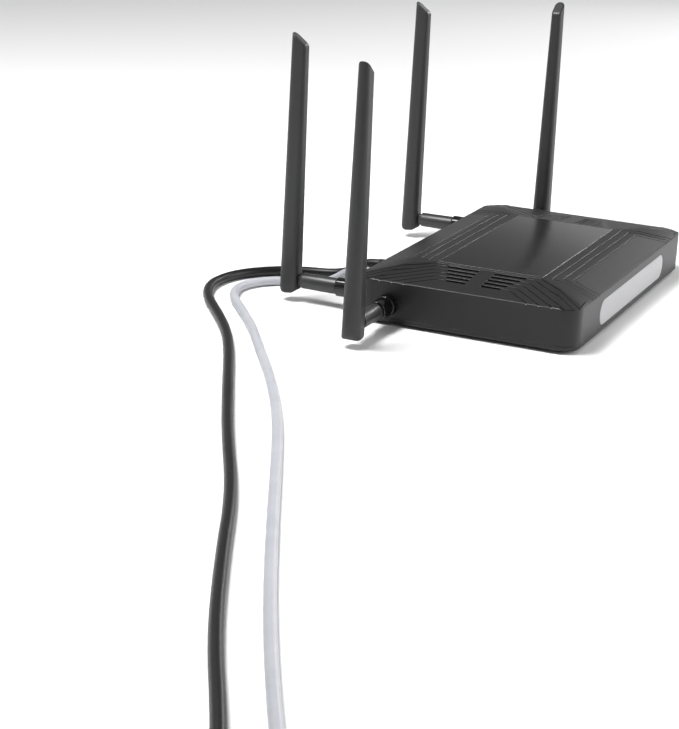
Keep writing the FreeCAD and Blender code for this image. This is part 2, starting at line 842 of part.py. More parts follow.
def antenna_spots():
    """Turn about Z and point on the wall for each antenna: rear left, left, right, rear right."""
    return [(90.0, (-rear_antenna_x, rear_y, arm_z)), (180.0, (-side_x, middle_y + side_antenna_y, arm_z)),
            (0.0, (side_x, middle_y + side_antenna_y, arm_z)), (90.0, (rear_antenna_x, rear_y, arm_z))]


def placed(shape, angle, spot):
    shape = shape.copy()
    shape.rotate(V(0, 0, 0), UP, angle)
    shape.translate(V(*spot))
    return shape


def antenna_socket():
    """Black collar on the wall, with a neck through it and a lip behind it."""
    inner_end = (-wall - socket_lip, 0, 0)
    flange = rod(socket_flange_radius, (0, 0, 0), (socket_flange_thickness, 0, 0))
    barrel = rod(socket_radius, (0, 0, 0), (socket_length, 0, 0))
    end_edges = [e for e in barrel.Edges if e.BoundBox.XMin > socket_length - cut_margin]
    barrel = barrel.makeFillet(socket_round, end_edges)
    neck = rod(socket_neck_radius, inner_end, (socket_flange_thickness, 0, 0))
    lip = rod(socket_neck_radius + socket_lip_proud, inner_end, (-wall, 0, 0))
    body = joined([flange, barrel, neck, lip])
    bore_end = socket_length - arm_shaft_length - shaft_end_room
    body = body.cut(rod(arm_shaft_radius + running_gap, (bore_end, 0, 0), (socket_length + cut_margin, 0, 0)))
    return body.cut(rod(coax_bore, (inner_end[0] - cut_margin, 0, 0), (socket_length, 0, 0)))


def antenna_arm(reach):
    """Grey arm: shaft in the socket, tapered barrel, and a flat tongue round the hinge pin."""
    shoulder = reach - blade_drop - hinge_gap
    root = socket_length + arm_end_gap
    shaft = rod(arm_shaft_radius, (socket_length - arm_shaft_length, 0, 0), (root + arm_chamfer, 0, 0))
    barrel = Part.makeCone(arm_radius_root, arm_radius_end, shoulder - root, V(root, 0, 0), V(1, 0, 0))
    barrel = barrel.makeChamfer(arm_chamfer, [e for e in barrel.Edges if len(e.Vertexes) == 1])
    half = tongue_width / 2
    tongue = box((shoulder - arm_shaft_radius, -half, -tongue_height / 2), (reach, half, tongue_height / 2))
    tip = rod(tongue_height / 2, (reach, -half, 0), (reach, half, 0))
    arm = joined([shaft, barrel, tongue, tip])
    pin_hole = rod(hinge_pin_radius + running_gap, (reach, -tongue_width, 0), (reach, tongue_width, 0))
    return arm.cut(pin_hole).cut(rod(coax_bore, (0, 0, 0), (shoulder - coax_wall, 0, 0)))


def hinge_pin(reach):
    return rod(hinge_pin_radius, (reach, -hinge_pin_length / 2, 0), (reach, hinge_pin_length / 2, 0))


def blade_section(size, reach, z):
    """Round-cornered section, flatter on the side that faces the router."""
    a = size[0] / 2
    b = size[1] / 2
    outer = blade_outer_round * b
    inner = blade_inner_round * b
    corners = [(1, 1, outer), (-1, 1, inner), (-1, -1, inner), (1, -1, outer)]
    arcs = []
    for quarter, (side, across, radius) in enumerate(corners):
        centre = V(reach + side * (a - radius), across * (b - radius), z)
        arcs.append(quarter_arc(centre, radius, quarter))
    return closed_wire(arcs)


def blade_profile(reach):
    """Side view: slanted tip, round heel, and an inner heel that clears the arm as the blade folds."""
    a = blade_base[0] / 2
    low = -blade_drop
    top = blade_length - blade_drop - tip_drop / 2
    slope = tip_drop / blade_tip[0]
    inner_z = -math.sqrt(blade_drop ** 2 - a ** 2)
    turn = math.radians(-90) - math.atan2(a, -inner_z) / 2
    heel = heel_radius
    corner = heel * (1 - math.sqrt(0.5))
    wide = blade_base[0]

    def spot(x, z):
        return V(reach + x, -wide, z)

    high = spot(a + cut_margin, top + slope * (a + cut_margin + blade_tip[0] / 2))
    far = spot(-a, top - slope * (a - blade_tip[0] / 2))
    start = spot(a + cut_margin, low + heel)
    swing = spot(blade_drop * math.cos(turn), blade_drop * math.sin(turn))
    wire = Part.Wire([
        Part.LineSegment(start, high).toShape(),
        Part.LineSegment(high, far).toShape(),
        Part.LineSegment(far, spot(-a, inner_z)).toShape(),
        Part.Arc(spot(-a, inner_z), swing, spot(0, low)).toShape(),
        Part.LineSegment(spot(0, low), spot(a - heel, low)).toShape(),
        Part.Arc(spot(a - heel, low), spot(a - corner, low + corner), spot(a, low + heel)).toShape(),
        Part.LineSegment(spot(a, low + heel), start).toShape(),
    ])
    return Part.Face(wire).extrude(V(0, 2 * wide, 0))


def hinge_slot(reach):
    """Room for the tongue while the blade folds from upright to straight out."""
    half = tongue_width / 2 + slot_gap
    room = tongue_height / 2 + slot_end_gap
    past = 2 * blade_drop
    inner = box((reach - past, -half, -past), (reach, half, room))
    lower = box((reach - past, -half, -past), (reach + room, half, 0))
    return joined([inner, lower, rod(room, (reach, -half, 0), (reach, half, 0))])


def element_floor():
    return tongue_height / 2 + slot_gap + element_rise


def antenna_blade(reach):
    low = blade_section(blade_base, reach, -blade_drop)
    high = blade_section(blade_tip, reach, blade_length - blade_drop + tip_drop)
    blade = Part.makeLoft([low, high], True, True)
    blade = blade.common(blade_profile(reach))
    blade = blade.cut(hinge_slot(reach)).cut(hinge_pin(reach))
    bore_length = blade_length - blade_solid_tip
    blade = blade.cut(Part.makeCylinder(element_bore, bore_length, V(reach, 0, element_floor())))
    feed = Part.makeCylinder(element_feed_bore, element_floor(), V(reach, 0, tongue_height / 2))
    return blade.cut(feed)


def antenna_element(reach):
    """Dipole inside the blade: a wide lower sleeve, a thin rod and a loading coil's former."""
    base = V(reach, 0, element_floor())
    radius = element_bore - element_clearance
    thin_radius, thin_length = element_rod
    overlap = V(0, 0, cut_margin)
    thin_start = base + V(0, 0, sleeve_length) - overlap
    former_start = thin_start + V(0, 0, thin_length) - overlap
    return joined([Part.makeCylinder(radius, sleeve_length, base),
                   Part.makeCylinder(thin_radius, thin_length, thin_start),
                   Part.makeCylinder(radius, former_length, former_start)])


# --- leads: plugs are drawn along +Y from the nose, on their lead's axis ---

def laid(shape, heading, spot):
    """Turn a shape that points along +Y to a heading in plan and carry it to spot."""
    shape = shape.copy()
    shape.rotate(V(0, 0, 0), UP, math.degrees(math.atan2(heading.y, heading.x)) - 90)
    shape.translate(spot)
    return shape


def network_plug():
    """Clear modular plug with its latch tab underneath."""
    half = plug_width / 2
    body = box((-half, 0, -plug_height / 2), (half, plug_length, plug_height / 2))
    nose = latch_root
    under = -plug_height / 2 - latch_gap
    low = under - latch_thickness
    tab = box((-latch_width_half, nose, low), (latch_width_half, nose + latch_length, under))
    root = box((-latch_width_half, nose, low), (latch_width_half, 2 * nose, 0))
    return joined([body, tab, root])


def network_boot():
    """Rubber sleeve behind the plug."""
    end_radius = network_cord / 2 + boot_end_wall
    return Part.makeCone(boot_radius, end_radius, boot_length, V(0, plug_length, 0), V(0, 1, 0))


def power_plug():
    """Barrel plug: hollow barrel, round handle and a short tapered strain relief."""
    handle_end = barrel_length + handle_length
    barrel = rod(barrel_radius, (0, 0, 0), (0, barrel_length + cut_margin, 0))
    handle = rod(handle_radius, (0, barrel_length, 0), (0, handle_end, 0))
    handle = handle.makeFillet(handle_round, [e for e in handle.Edges if len(e.Vertexes) == 1])
    thin_end = power_cord / 2 + relief_wall
    relief = Part.makeCone(handle_radius - handle_round, thin_end, relief_length + relief_sink,
                           V(0, handle_end - relief_sink, 0), V(0, 1, 0))
    plug = joined([barrel, handle, relief])
    return plug.cut(rod(dc_pin_radius + pin_clearance, (0, -cut_margin, 0), (0, barrel_length, 0)))



def network_route():
    """Points of the patch lead from its boot to its coil, laid on the surface."""
    low = network_cord / 2
    return [(wan_x, network_exit_y, network_z), (wan_x, network_exit_y + 9, network_z),
            (wan_x - 0.5, network_exit_y + 21, 6.6), (-70, 95, low), (-73, 112, low), (-84, 128, low),
            (-105, 136, low), (-129, 128, low), (-152, 110, low), (-184, 86, low), (-222, 62, low),
            (-268, 32, low), (-330, -3, low), (-396, -34, low), (-470, -68, low), (-546, -104, low),
            (-618, -141, low), (-696, -184.5, low)]


def power_route():
    """Points of the power lead from its plug to its coil, laid on the surface."""
    low = power_cord / 2
    return [(dc_x, power_exit_y, dc_z), (dc_x, power_exit_y + 9, dc_z),
            (dc_x - 0.5, power_exit_y + 21, 6.6), (-41, 96, low), (-45, 114, low), (-58, 136, low),
            (-82, 152, low), (-112, 154, low), (-140, 141, low), (-168, 119, low), (-204, 93, low),
            (-246, 70, low), (-300, 43, low), (-366, 9, low), (-438, -31, low), (-508, -62, low),
            (-582, -97, low), (-648, -134, low), (-714, -167, low)]


class Coil:
    """Ring of wound lead: where the route's last run meets it, and where its tail leaves."""

    def __init__(self, route, diameter, mean_diameters, side):
        self.diameter = diameter
        self.mean = mean_diameters * diameter / 2
        self.outer_turn = self.mean + diameter / 2 * (coil_turns_wide - 1)
        entry = V(*route[-1])
        heading = (entry - V(*route[-2])).normalize()
        self.centre = entry + V(-heading.y, heading.x, 0) * (side * self.outer_turn)
        self.centre.z = 0
        angle = math.atan2(entry.y - self.centre.y, entry.x - self.centre.x) + side * math.radians(exit_turn)
        out = V(math.cos(angle), math.sin(angle), 0)
        self.exit = self.centre + out * self.outer_turn + V(0, 0, diameter * (coil_turns_high - 0.5))
        self.exit_heading = V(-out.y, out.x, 0) * side
        self.tie_direction = out * -1

    def solid(self):
        half_wide = self.diameter * coil_turns_wide / 2
        height = self.diameter * coil_turns_high
        ring = Part.makeCylinder(self.mean + half_wide, height, self.centre)
        below = self.centre - V(0, 0, height)
        ring = ring.cut(Part.makeCylinder(self.mean - half_wide, 3 * height, below))
        return ring.makeFillet(coil_round * self.diameter, [e for e in ring.Edges if len(e.Vertexes) == 1])

    def tie(self):
        """Band round the coil's section."""
        half_wide = self.diameter * coil_turns_wide / 2 + tie_thickness
        height = self.diameter * coil_turns_high + tie_thickness
        inner = self.mean - half_wide
        outer = self.mean + half_wide
        band = box((inner, -tie_width / 2, 0), (outer, tie_width / 2, height))
        band = band.cut(box((inner + 2 * tie_thickness, -tie_width, tie_thickness),
                            (outer - 2 * tie_thickness, tie_width, height - 2 * tie_thickness)))
        direction = math.atan2(self.tie_direction.y, self.tie_direction.x)
        band.rotate(V(0, 0, 0), UP, math.degrees(direction))
        band.translate(self.centre)
        return band



def power_adapter(z):
    """Plug-in supply lying on its side, its lead's relief at height z."""
    half = adapter_size[0] / 2
    block = box((-half, adapter_relief, -z), (half, adapter_relief + adapter_size[1], adapter_size[2] - z))
    block = block.makeFillet(adapter_round, block.Edges)
    relief = Part.makeCone(power_cord / 2 + relief_wall, relief_radius, adapter_relief + relief_sink,
                           V(0, 0, 0), V(0, 1, 0))
    return joined([block, relief])


def adapter_pins(z):
    start = adapter_relief + adapter_size[1]
    thickness, length, width = pin_size
    low = adapter_size[2] / 2 - z - width / 2
    pins = []
    for x in (-pin_spacing / 2, pin_spacing / 2):
        pins.append(box((x - thickness / 2, start, low), (x + thickness / 2, start + length, low + width)))
    return Part.makeCompound(pins)


def leads():
    """Both leads with their plugs, coils, ties and far ends."""
    nodes = {}
    straight = V(0, 1, 0)
    network_nose = V(wan_x, socket_face_y - plug_insert, network_z)
    nodes["ethernet_plug"] = laid(network_plug(), straight, network_nose)
    nodes["ethernet_boot"] = laid(network_boot(), straight, network_nose)
    power_nose = V(dc_x, socket_face_y + handle_gap - barrel_length, dc_z)
    nodes["power_plug"] = laid(power_plug(), straight, power_nose)

    coil = Coil(network_route(), network_cord, network_coil_mean, 1)
    far = coil.exit + coil.exit_heading * tail_length
    far.z = plug_height / 2
    main = lead_tube("ethernet cord", network_route(), network_cord)
    tail = lead_tube("ethernet tail", [tuple(coil.exit), tuple(far)], network_cord)
    nodes["ethernet_cord"] = Part.makeCompound([main, tail])
    nodes["ethernet_coil"] = coil.solid()
    nodes["ethernet_tie"] = coil.tie()
    rear_of_plug = far + coil.exit_heading * (plug_length + boot_length)
    for name, shape in [("ethernet_far_plug", network_plug()), ("ethernet_far_boot", network_boot())]:
        shape.rotate(V(0, 0, 0), V(0, 1, 0), 180)
        nodes[name] = laid(shape, coil.exit_heading * -1, rear_of_plug)

    coil = Coil(power_route(), power_cord, power_coil_mean, -1)
    far = coil.exit + coil.exit_heading * tail_length
    main = lead_tube("power cord", power_route(), power_cord)
    tail = lead_tube("power tail", [tuple(coil.exit), tuple(far)], power_cord)
    nodes["power_cord"] = Part.makeCompound([main, tail])
    nodes["power_coil"] = coil.solid()
    nodes["power_tie"] = coil.tie()
    nodes["power_adapter"] = laid(power_adapter(far.z), coil.exit_heading, far)
    nodes["adapter_pins"] = laid(adapter_pins(far.z), coil.exit_heading, far)
    return nodes


def antennas():
    nodes = {}
    reaches = [rear_reach, side_reach, side_reach, rear_reach]
    for k, ((angle, spot), reach) in enumerate(zip(antenna_spots(), reaches), start=1):
        nodes[f"antenna_socket_{k}"] = placed(antenna_socket(), angle, spot)
        nodes[f"antenna_arm_{k}"] = placed(antenna_arm(reach), angle, spot)
        nodes[f"hinge_pin_{k}"] = placed(hinge_pin(reach), angle, spot)
        nodes[f"antenna_blade_{k}"] = placed(antenna_blade(reach), angle, spot)
        nodes[f"antenna_element_{k}"] = placed(antenna_element(reach), angle, spot)
    return nodes


def case():
    lead_set, plug_set = antenna_leads()
    nodes = {
        "top_cover": top_cover(),
        "top_panel": top_panel(),
        "front_window": front_window(),
        "bottom_cover": bottom_cover(),
        "rubber_feet": rubber_feet(),
        "case_screws": case_screws(),
        "circuit_board": circuit_board(),
        "wan_jack": network_jack(wan_x),
        "jack_contacts": jack_contacts(),
        "dc_jack": dc_jack(),
        "power_switch": switch_body(power_button_x, power_switch_size),
        "power_button": power_button(),
        "wps_switch": switch_body(wps_button_x, wps_switch_size),
        "wps_button": wps_button(),
        "shield_cans": shield_cans(),
        "main_chips": main_chips(),
        "heat_sink": heat_sink(),
        "line_transformers": line_transformers(),
        "capacitors": capacitors(),
        "status_lamps": status_lamps(),
        "light_guide": light_guide(),
        "antenna_leads": lead_set,
        "antenna_lead_plugs": plug_set,
    }
    for k, x in enumerate(lan_x, start=1):
        nodes[f"lan_jack_{k}"] = network_jack(x)
    return nodes


def build():
    os.makedirs("parts", exist_ok=True)
    nodes = {**case(), **antennas(), **leads()}
    for name, shape in nodes.items():
        shape.exportStep(f"parts/{name}.step")
    print(len(nodes), "nodes")


build()
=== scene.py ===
import json
import math

import bmesh
import bpy
import numpy as np
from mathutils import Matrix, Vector


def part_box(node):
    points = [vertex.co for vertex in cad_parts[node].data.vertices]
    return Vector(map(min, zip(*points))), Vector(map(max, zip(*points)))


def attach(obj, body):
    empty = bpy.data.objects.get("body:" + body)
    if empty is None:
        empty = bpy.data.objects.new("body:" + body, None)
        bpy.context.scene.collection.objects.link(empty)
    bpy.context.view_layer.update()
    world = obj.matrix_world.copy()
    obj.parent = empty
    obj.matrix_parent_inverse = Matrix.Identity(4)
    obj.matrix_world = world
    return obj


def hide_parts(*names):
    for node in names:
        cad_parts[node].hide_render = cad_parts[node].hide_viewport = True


# Wireless router with four folding antennas, its patch lead and its power lead.
# Metres, in the frame of the CAD part: +X along the length, +Y towards the sockets, +Z up.

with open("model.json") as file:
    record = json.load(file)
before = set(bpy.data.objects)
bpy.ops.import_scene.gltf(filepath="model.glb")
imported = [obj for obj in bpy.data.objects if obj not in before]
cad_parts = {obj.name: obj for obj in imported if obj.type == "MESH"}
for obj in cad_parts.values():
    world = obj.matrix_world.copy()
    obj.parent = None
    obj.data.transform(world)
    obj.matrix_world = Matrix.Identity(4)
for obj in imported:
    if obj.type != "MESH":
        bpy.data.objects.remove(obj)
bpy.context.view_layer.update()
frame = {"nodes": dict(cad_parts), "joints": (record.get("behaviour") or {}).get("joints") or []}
mm = 0.001
joints = {joint["name"]: joint for joint in frame["joints"]}
print("frame loaded:", len(frame["nodes"]), "nodes")


# --- camera ---

cameraView = {
    "place": (-1.2050, -0.4143, 0.3420),
    "pitch": 72.35,         # degrees, from straight down
    "roll": -2.75,
    "heading": -65.81,
    "lens": 94.31,          # mm on a 36 mm sensor
}


def makeCamera(v):
    data = bpy.data.cameras.new("camera")
    data.lens = v["lens"]
    data.sensor_width = 36.0
    data.clip_start = 0.05
    data.clip_end = 60.0
    camera = bpy.data.objects.new("camera", data)
    camera.location = v["place"]
    camera.rotation_euler = [math.radians(v[k]) for k in ("pitch", "roll", "heading")]
    bpy.context.scene.collection.objects.link(camera)
    bpy.context.scene.camera = camera


makeCamera(cameraView)


# --- materials ---

def linear(hexColor):
    # sRGB to linear: c / 12.92 when dark, else ((c + 0.055) / 1.055) to the power 2.4
    c = np.array([int(hexColor[k:k + 2], 16) for k in (1, 3, 5)]) / 255
    c = np.where(c <= 0.04045, c / 12.92, ((c + 0.055) / 1.055) ** 2.4)
    return (*[float(x) for x in c], 1.0)


def addNode(tree, kind, settings=None, links=None):
    # one node; a setting or a link is given by its socket's name or number, or by its attribute
    node = tree.nodes.new(kind)
    for key, value in (settings or {}).items():
        if isinstance(key, int) or key in node.inputs:
            node.inputs[key].default_value = value
        else:
            setattr(node, key, value)
    for key, output in (links or {}).items():
        tree.links.new(output, node.inputs[key])
    return node


def newMaterial(name, shaderSettings):
    material = bpy.data.materials.new(name)
    material.use_nodes = True
    tree = material.node_tree
    tree.nodes.clear()
    shader = addNode(tree, "ShaderNodeBsdfPrincipled", shaderSettings)
    addNode(tree, "ShaderNodeOutputMaterial", {}, {"Surface": shader.outputs[0]})
    place = addNode(tree, "ShaderNodeTexCoord").outputs["Object"]
    return material, tree, shader, place


def mouldedPlastic(name, v, extra=None):
    # slow mottling of colour and gloss, and a spark-eroded grain, each at its own size in mm
    settings = {"IOR": v.get("ior", 1.53), **(extra or {})}
    material, tree, shader, place = newMaterial(name, settings)
    mottle = addNode(tree, "ShaderNodeTexNoise", {"Scale": 1 / (v["mottle"] * mm), "Detail": 3.0},
                     {"Vector": place})
    grain = addNode(tree, "ShaderNodeTexNoise", {"Scale": 1 / (v["grain"] * mm), "Detail": 2.0},
                    {"Vector": place})
    color = addNode(tree, "ShaderNodeMix", {"data_type": "RGBA", 6: linear(v["dark"]), 7: linear(v["light"])},
                    {0: mottle.outputs[0]})
    gloss = addNode(tree, "ShaderNodeMapRange", {"To Min": v["rough"][0], "To Max": v["rough"][1]},
                    {"Value": grain.outputs[0]})
    bump = addNode(tree, "ShaderNodeBump", {"Strength": v["bump"], "Distance": 0.05 * mm},
                   {"Height": grain.outputs[0]})
    tree.links.new(color.outputs[2], shader.inputs["Base Color"])
    tree.links.new(gloss.outputs[0], shader.inputs["Roughness"])
    tree.links.new(bump.outputs[0], shader.inputs["Normal"])
    return material


def plated(name, v):
    # rolled or drawn metal: streaks along one axis vary the gloss, and blotches vary the colour
    material, tree, shader, place = newMaterial(name, {"Metallic": 1.0})
    stretch = addNode(tree, "ShaderNodeMapping", {"Scale": v["stretch"]}, {"Vector": place})
    streak = addNode(tree, "ShaderNodeTexNoise", {"Scale": 1 / (v["streak"] * mm), "Detail": 3.0},
                     {"Vector": stretch.outputs[0]})
    blotch = addNode(tree, "ShaderNodeTexNoise", {"Scale": 1 / (v["blotch"] * mm), "Detail": 2.0},
                     {"Vector": place})
    color = addNode(tree, "ShaderNodeMix", {"data_type": "RGBA", 6: linear(v["dark"]), 7: linear(v["light"])},
                    {0: blotch.outputs[0]})
    gloss = addNode(tree, "ShaderNodeMapRange", {"To Min": v["rough"][0], "To Max": v["rough"][1]},
                    {"Value": streak.outputs[0]})
    bump = addNode(tree, "ShaderNodeBump", {"Strength": 0.15, "Distance": 0.02 * mm},
                   {"Height": streak.outputs[0]})
    tree.links.new(color.outputs[2], shader.inputs["Base Color"])
    tree.links.new(gloss.outputs[0], shader.inputs["Roughness"])
    tree.links.new(bump.outputs[0], shader.inputs["Normal"])
    return material


# case shells: ABS moulded in a finely spark-eroded tool, satin black
satinAbs = mouldedPlastic("satinAbs", {
    "dark": "#0c0c0d", "light": "#121213", "mottle": 40, "grain": 0.9, "rough": (0.36, 0.44), "bump": 0.10},
    {"Specular IOR Level": 0.38})
# top panel: ABS from a polished tool, so it mirrors the antennas softly
polishedAbs = mouldedPlastic("polishedAbs", {
    "dark": "#131314", "light": "#171718", "mottle": 60, "grain": 1.4, "rough": (0.20, 0.26), "bump": 0.03},
    {"Specular IOR Level": 0.36})
# collars: gloss black ABS
glossAbs = mouldedPlastic("glossAbs", {
    "dark": "#060606", "light": "#0a0a0a", "mottle": 20, "grain": 1.2, "rough": (0.10, 0.16), "bump": 0.02})
# arms and blades: TPU-coated ABS, softer and a little greyer than the case
satinArm = mouldedPlastic("satinArm", {
    "dark": "#242425", "light": "#2b2b2c", "mottle": 15, "grain": 0.7, "rough": (0.34, 0.44), "bump": 0.10})
satinBlade = mouldedPlastic("satinBlade", {
    "dark": "#19191a", "light": "#202021", "mottle": 30, "grain": 0.8, "rough": (0.38, 0.50), "bump": 0.12})
# window: frosted polycarbonate over a white light mask
frostedPolycarbonate = mouldedPlastic("frostedPolycarbonate", {
    "dark": "#aaaaac", "light": "#b1b1b3", "mottle": 50, "grain": 0.8, "rough": (0.46, 0.52), "bump": 0.03,
    "ior": 1.58}, {"Specular IOR Level": 0.3})
# sockets' liners, switches, chips: glass-filled nylon and moulded epoxy, dull black
dullNylon = mouldedPlastic("dullNylon", {
    "dark": "#0b0b0b", "light": "#131313", "mottle": 8, "grain": 0.5, "rough": (0.45, 0.60), "bump": 0.2})
mouldedEpoxy = mouldedPlastic("mouldedEpoxy", {
    "dark": "#141414", "light": "#1b1b1c", "mottle": 5, "grain": 0.3, "rough": (0.55, 0.70), "bump": 0.3})
satinButton = mouldedPlastic("satinButton", {
    "dark": "#101011", "light": "#171718", "mottle": 10, "grain": 0.6, "rough": (0.30, 0.40), "bump": 0.08})
# feet: silicone rubber, matt
siliconeRubber = mouldedPlastic("siliconeRubber", {
    "dark": "#0e0e0e", "light": "#181818", "mottle": 6, "grain": 0.6, "rough": (0.62, 0.78),
    "bump": 0.25, "ior": 1.43})
# leads: PVC jackets, extruded, so smooth with a faint unevenness
greyPvc = mouldedPlastic("greyPvc", {
    "dark": "#a2a3a9", "light": "#b4b5bb", "mottle": 12, "grain": 1.5, "rough": (0.34, 0.46),
    "bump": 0.10, "ior": 1.54})
blackPvc = mouldedPlastic("blackPvc", {
    "dark": "#050505", "light": "#0a0a0a", "mottle": 12, "grain": 1.5, "rough": (0.34, 0.48),
    "bump": 0.12, "ior": 1.54},
    {"Specular IOR Level": 0.3})
# adapter: ABS with a coarse moulded grain
grainedAbs = mouldedPlastic("grainedAbs", {
    "dark": "#0d0d0e", "light": "#141415", "mottle": 25, "grain": 0.7, "rough": (0.42, 0.60), "bump": 0.45})
# ties: hook-and-loop tape, a fuzzy nylon
loopTape = mouldedPlastic("loopTape", {
    "dark": "#0c0c0c", "light": "#1e1e1e", "mottle": 1.2, "grain": 0.35, "rough": (0.80, 0.95),
    "bump": 1.0},
    {"Sheen Weight": 0.3, "Sheen Roughness": 0.4})
# modular plugs and light guide: clear polycarbonate, water-white
clearPolycarbonate = mouldedPlastic("clearPolycarbonate", {
    "dark": "#dfe4e6", "light": "#eef1f2", "mottle": 10, "grain": 2.0, "rough": (0.05, 0.10), "bump": 0.02,
    "ior": 1.58}, {"Transmission Weight": 0.85})
# sockets' shells and shield cans: tin-plated steel; pins and screws: zinc;
# contacts: flash gold; fins: aluminium
tinPlate = plated("tinPlate", {
    "dark": "#b9b9b7", "light": "#cfcfcc", "stretch": (1.0, 1.0, 0.08), "streak": 0.8, "blotch": 6,
    "rough": (0.22, 0.38)})
zincSteel = plated("zincSteel", {
    "dark": "#8f9092", "light": "#a9aaac", "stretch": (1.0, 1.0, 0.2), "streak": 0.5, "blotch": 3,
    "rough": (0.28, 0.42)})
flashGold = plated("flashGold", {
    "dark": "#c9a24a", "light": "#dab862", "stretch": (1.0, 0.1, 1.0), "streak": 0.4, "blotch": 2,
    "rough": (0.18, 0.30)})
bareAluminium = plated("bareAluminium", {
    "dark": "#a4a6a8", "light": "#b8babc", "stretch": (1.0, 0.05, 1.0), "streak": 0.6, "blotch": 8,
    "rough": (0.30, 0.45)})


def makeSolderMask():
    # FR-4 board: green mask over copper tracks 0.5 mm wide; a real track is 0.2 mm, drawn coarser to show
    material, tree, shader, place = newMaterial("solderMask", {"IOR": 1.5, "Roughness": 0.28})
    tracks = addNode(tree, "ShaderNodeTexBrick", {
        "Scale": 1 / (14 * mm), "Mortar Size": 0.03, "Mortar Smooth": 0.2, "Color1": linear("#0d3d20"),
        "Color2": linear("#0f4525"), "Mortar": linear("#2a7a45")}, {"Vector": place})
    bump = addNode(tree, "ShaderNodeBump", {"Strength": 0.4, "Distance": 0.03 * mm},
                   {"Height": tracks.outputs[1]})
    tree.links.new(tracks.outputs[0], shader.inputs["Base Color"])
    tree.links.new(bump.outputs[0], shader.inputs["Normal"])
    return material


solderMask = makeSolderMask()
print("materials made")


# --- cords, first of the pieces ---

cords = {
    "patch": {
        "diameter": 6.0 * mm,
        "real": 1.5,          # length, metres
        "meanDiameters": 12.0,
        "side": 1,
        "tail": 29.0 * mm,
        "route": [(-0.068, 0.0625, 0.0159), (-0.068, 0.0715, 0.0159), (-0.0685, 0.0835, 0.0066),
                  (-0.070, 0.095, 0.003), (-0.073, 0.112, 0.003), (-0.084, 0.128, 0.003),
                  (-0.105, 0.136, 0.003), (-0.129, 0.128, 0.003), (-0.152, 0.110, 0.003),
                  (-0.184, 0.086, 0.003), (-0.222, 0.062, 0.003), (-0.268, 0.032, 0.003),
                  (-0.330, -0.003, 0.003), (-0.396, -0.034, 0.003), (-0.470, -0.068, 0.003),
                  (-0.546, -0.104, 0.003), (-0.618, -0.141, 0.003), (-0.696, -0.1845, 0.003)],
    },
    "power": {
        "diameter": 6.6 * mm,
        "real": 1.5,
        "meanDiameters": 11.0,
        "side": -1,
        "tail": 29.0 * mm,
        "route": [(-0.040, 0.0622, 0.0151), (-0.040, 0.0712, 0.0151), (-0.0405, 0.0832, 0.0066),
                  (-0.041, 0.096, 0.0033), (-0.045, 0.114, 0.0033), (-0.058, 0.136, 0.0033),
                  (-0.082, 0.152, 0.0033), (-0.112, 0.154, 0.0033), (-0.140, 0.141, 0.0033),
                  (-0.168, 0.119, 0.0033), (-0.204, 0.093, 0.0033), (-0.246, 0.070, 0.0033),
                  (-0.300, 0.043, 0.0033), (-0.366, 0.009, 0.0033), (-0.438, -0.031, 0.0033),
                  (-0.508, -0.062, 0.0033), (-0.582, -0.097, 0.0033), (-0.648, -0.134, 0.0033),
                  (-0.714, -0.167, 0.0033)],
    },
}
exitTurn = math.radians(12)
pointsPerTurn = 24


def eased(angle, start, end):
    # 0 before start, 1 after end, and 3t^2 - 2t^3 between, for an angle in degrees
    t = np.clip((angle - start) / (end - start), 0, 1)
    return t * t * (3 - 2 * t)


def coilOf(v):
    # where the coil lies: its centre is beside the route's last point, and its tail leaves 12 degrees past it
    last = np.array(v["route"][-1])
    heading = last - np.array(v["route"][-2])
    heading = heading / np.linalg.norm(heading)
    d = v["diameter"]
    outer = v["meanDiameters"] * d / 2 + d / 2
    centre = last + np.array([-heading[1], heading[0], 0]) * v["side"] * outer
    first = math.atan2(last[1] - centre[1], last[0] - centre[0])
    exitAngle = first + v["side"] * exitTurn
    out = np.array([math.cos(exitAngle), math.sin(exitAngle), 0])
    leave = np.array([centre[0], centre[1], 0]) + out * outer + np.array([0, 0, 1.5 * d])
    along = np.array([-out[1], out[0], 0]) * v["side"]
    return {"centre": centre, "outer": outer, "first": first, "leave": leave, "along": along}


def cordPoints(v, farPoint):
    # the route, then three turns: lower outer, lower inner, upper inner, and out over the top to the tail
    coil = coilOf(v)
    d = v["diameter"]
    step = 360 / pointsPerTurn
    angle = np.arange(step, 3 * 360 + math.degrees(exitTurn), step)
    inward = eased(angle, 300, 360) - eased(angle, 900, 960)
    raised = eased(angle, 600, 660)
    reach = (coil["outer"] - d * inward) / math.cos(math.radians(step / 2))
    turn = coil["first"] + v["side"] * np.radians(angle)
    turns = np.stack([coil["centre"][0] + reach * np.cos(turn), coil["centre"][1] + reach * np.sin(turn),
                      d / 2 + d * raised], 1)
    leave = coil["leave"]
    tail = [leave, leave + (farPoint - leave) * 0.35, leave + (farPoint - leave) * 0.7, farPoint]
    return [tuple(p) for p in v["route"]] + [tuple(p) for p in turns] + [tuple(p) for p in tail]


def makeCord(name, v, farPoint, material):
    data = bpy.data.curves.new(name, "CURVE")
    data.dimensions = "3D"
    data.bevel_depth = v["diameter"] / 2
    data.bevel_resolution = 5
    data.use_fill_caps = True
    spline = data.splines.new("NURBS")
    points = cordPoints(v, farPoint)
    spline.points.add(len(points) - 1)
    spline.points.foreach_set("co", np.c_[np.array(points), np.ones(len(points))].astype(np.float32).ravel())
    spline.order_u = 3
    spline.use_endpoint_u = True
    spline.resolution_u = 6
    data.materials.append(material)
    cord = bpy.data.objects.new(name, data)
    bpy.context.scene.collection.objects.link(cord)
    return cord


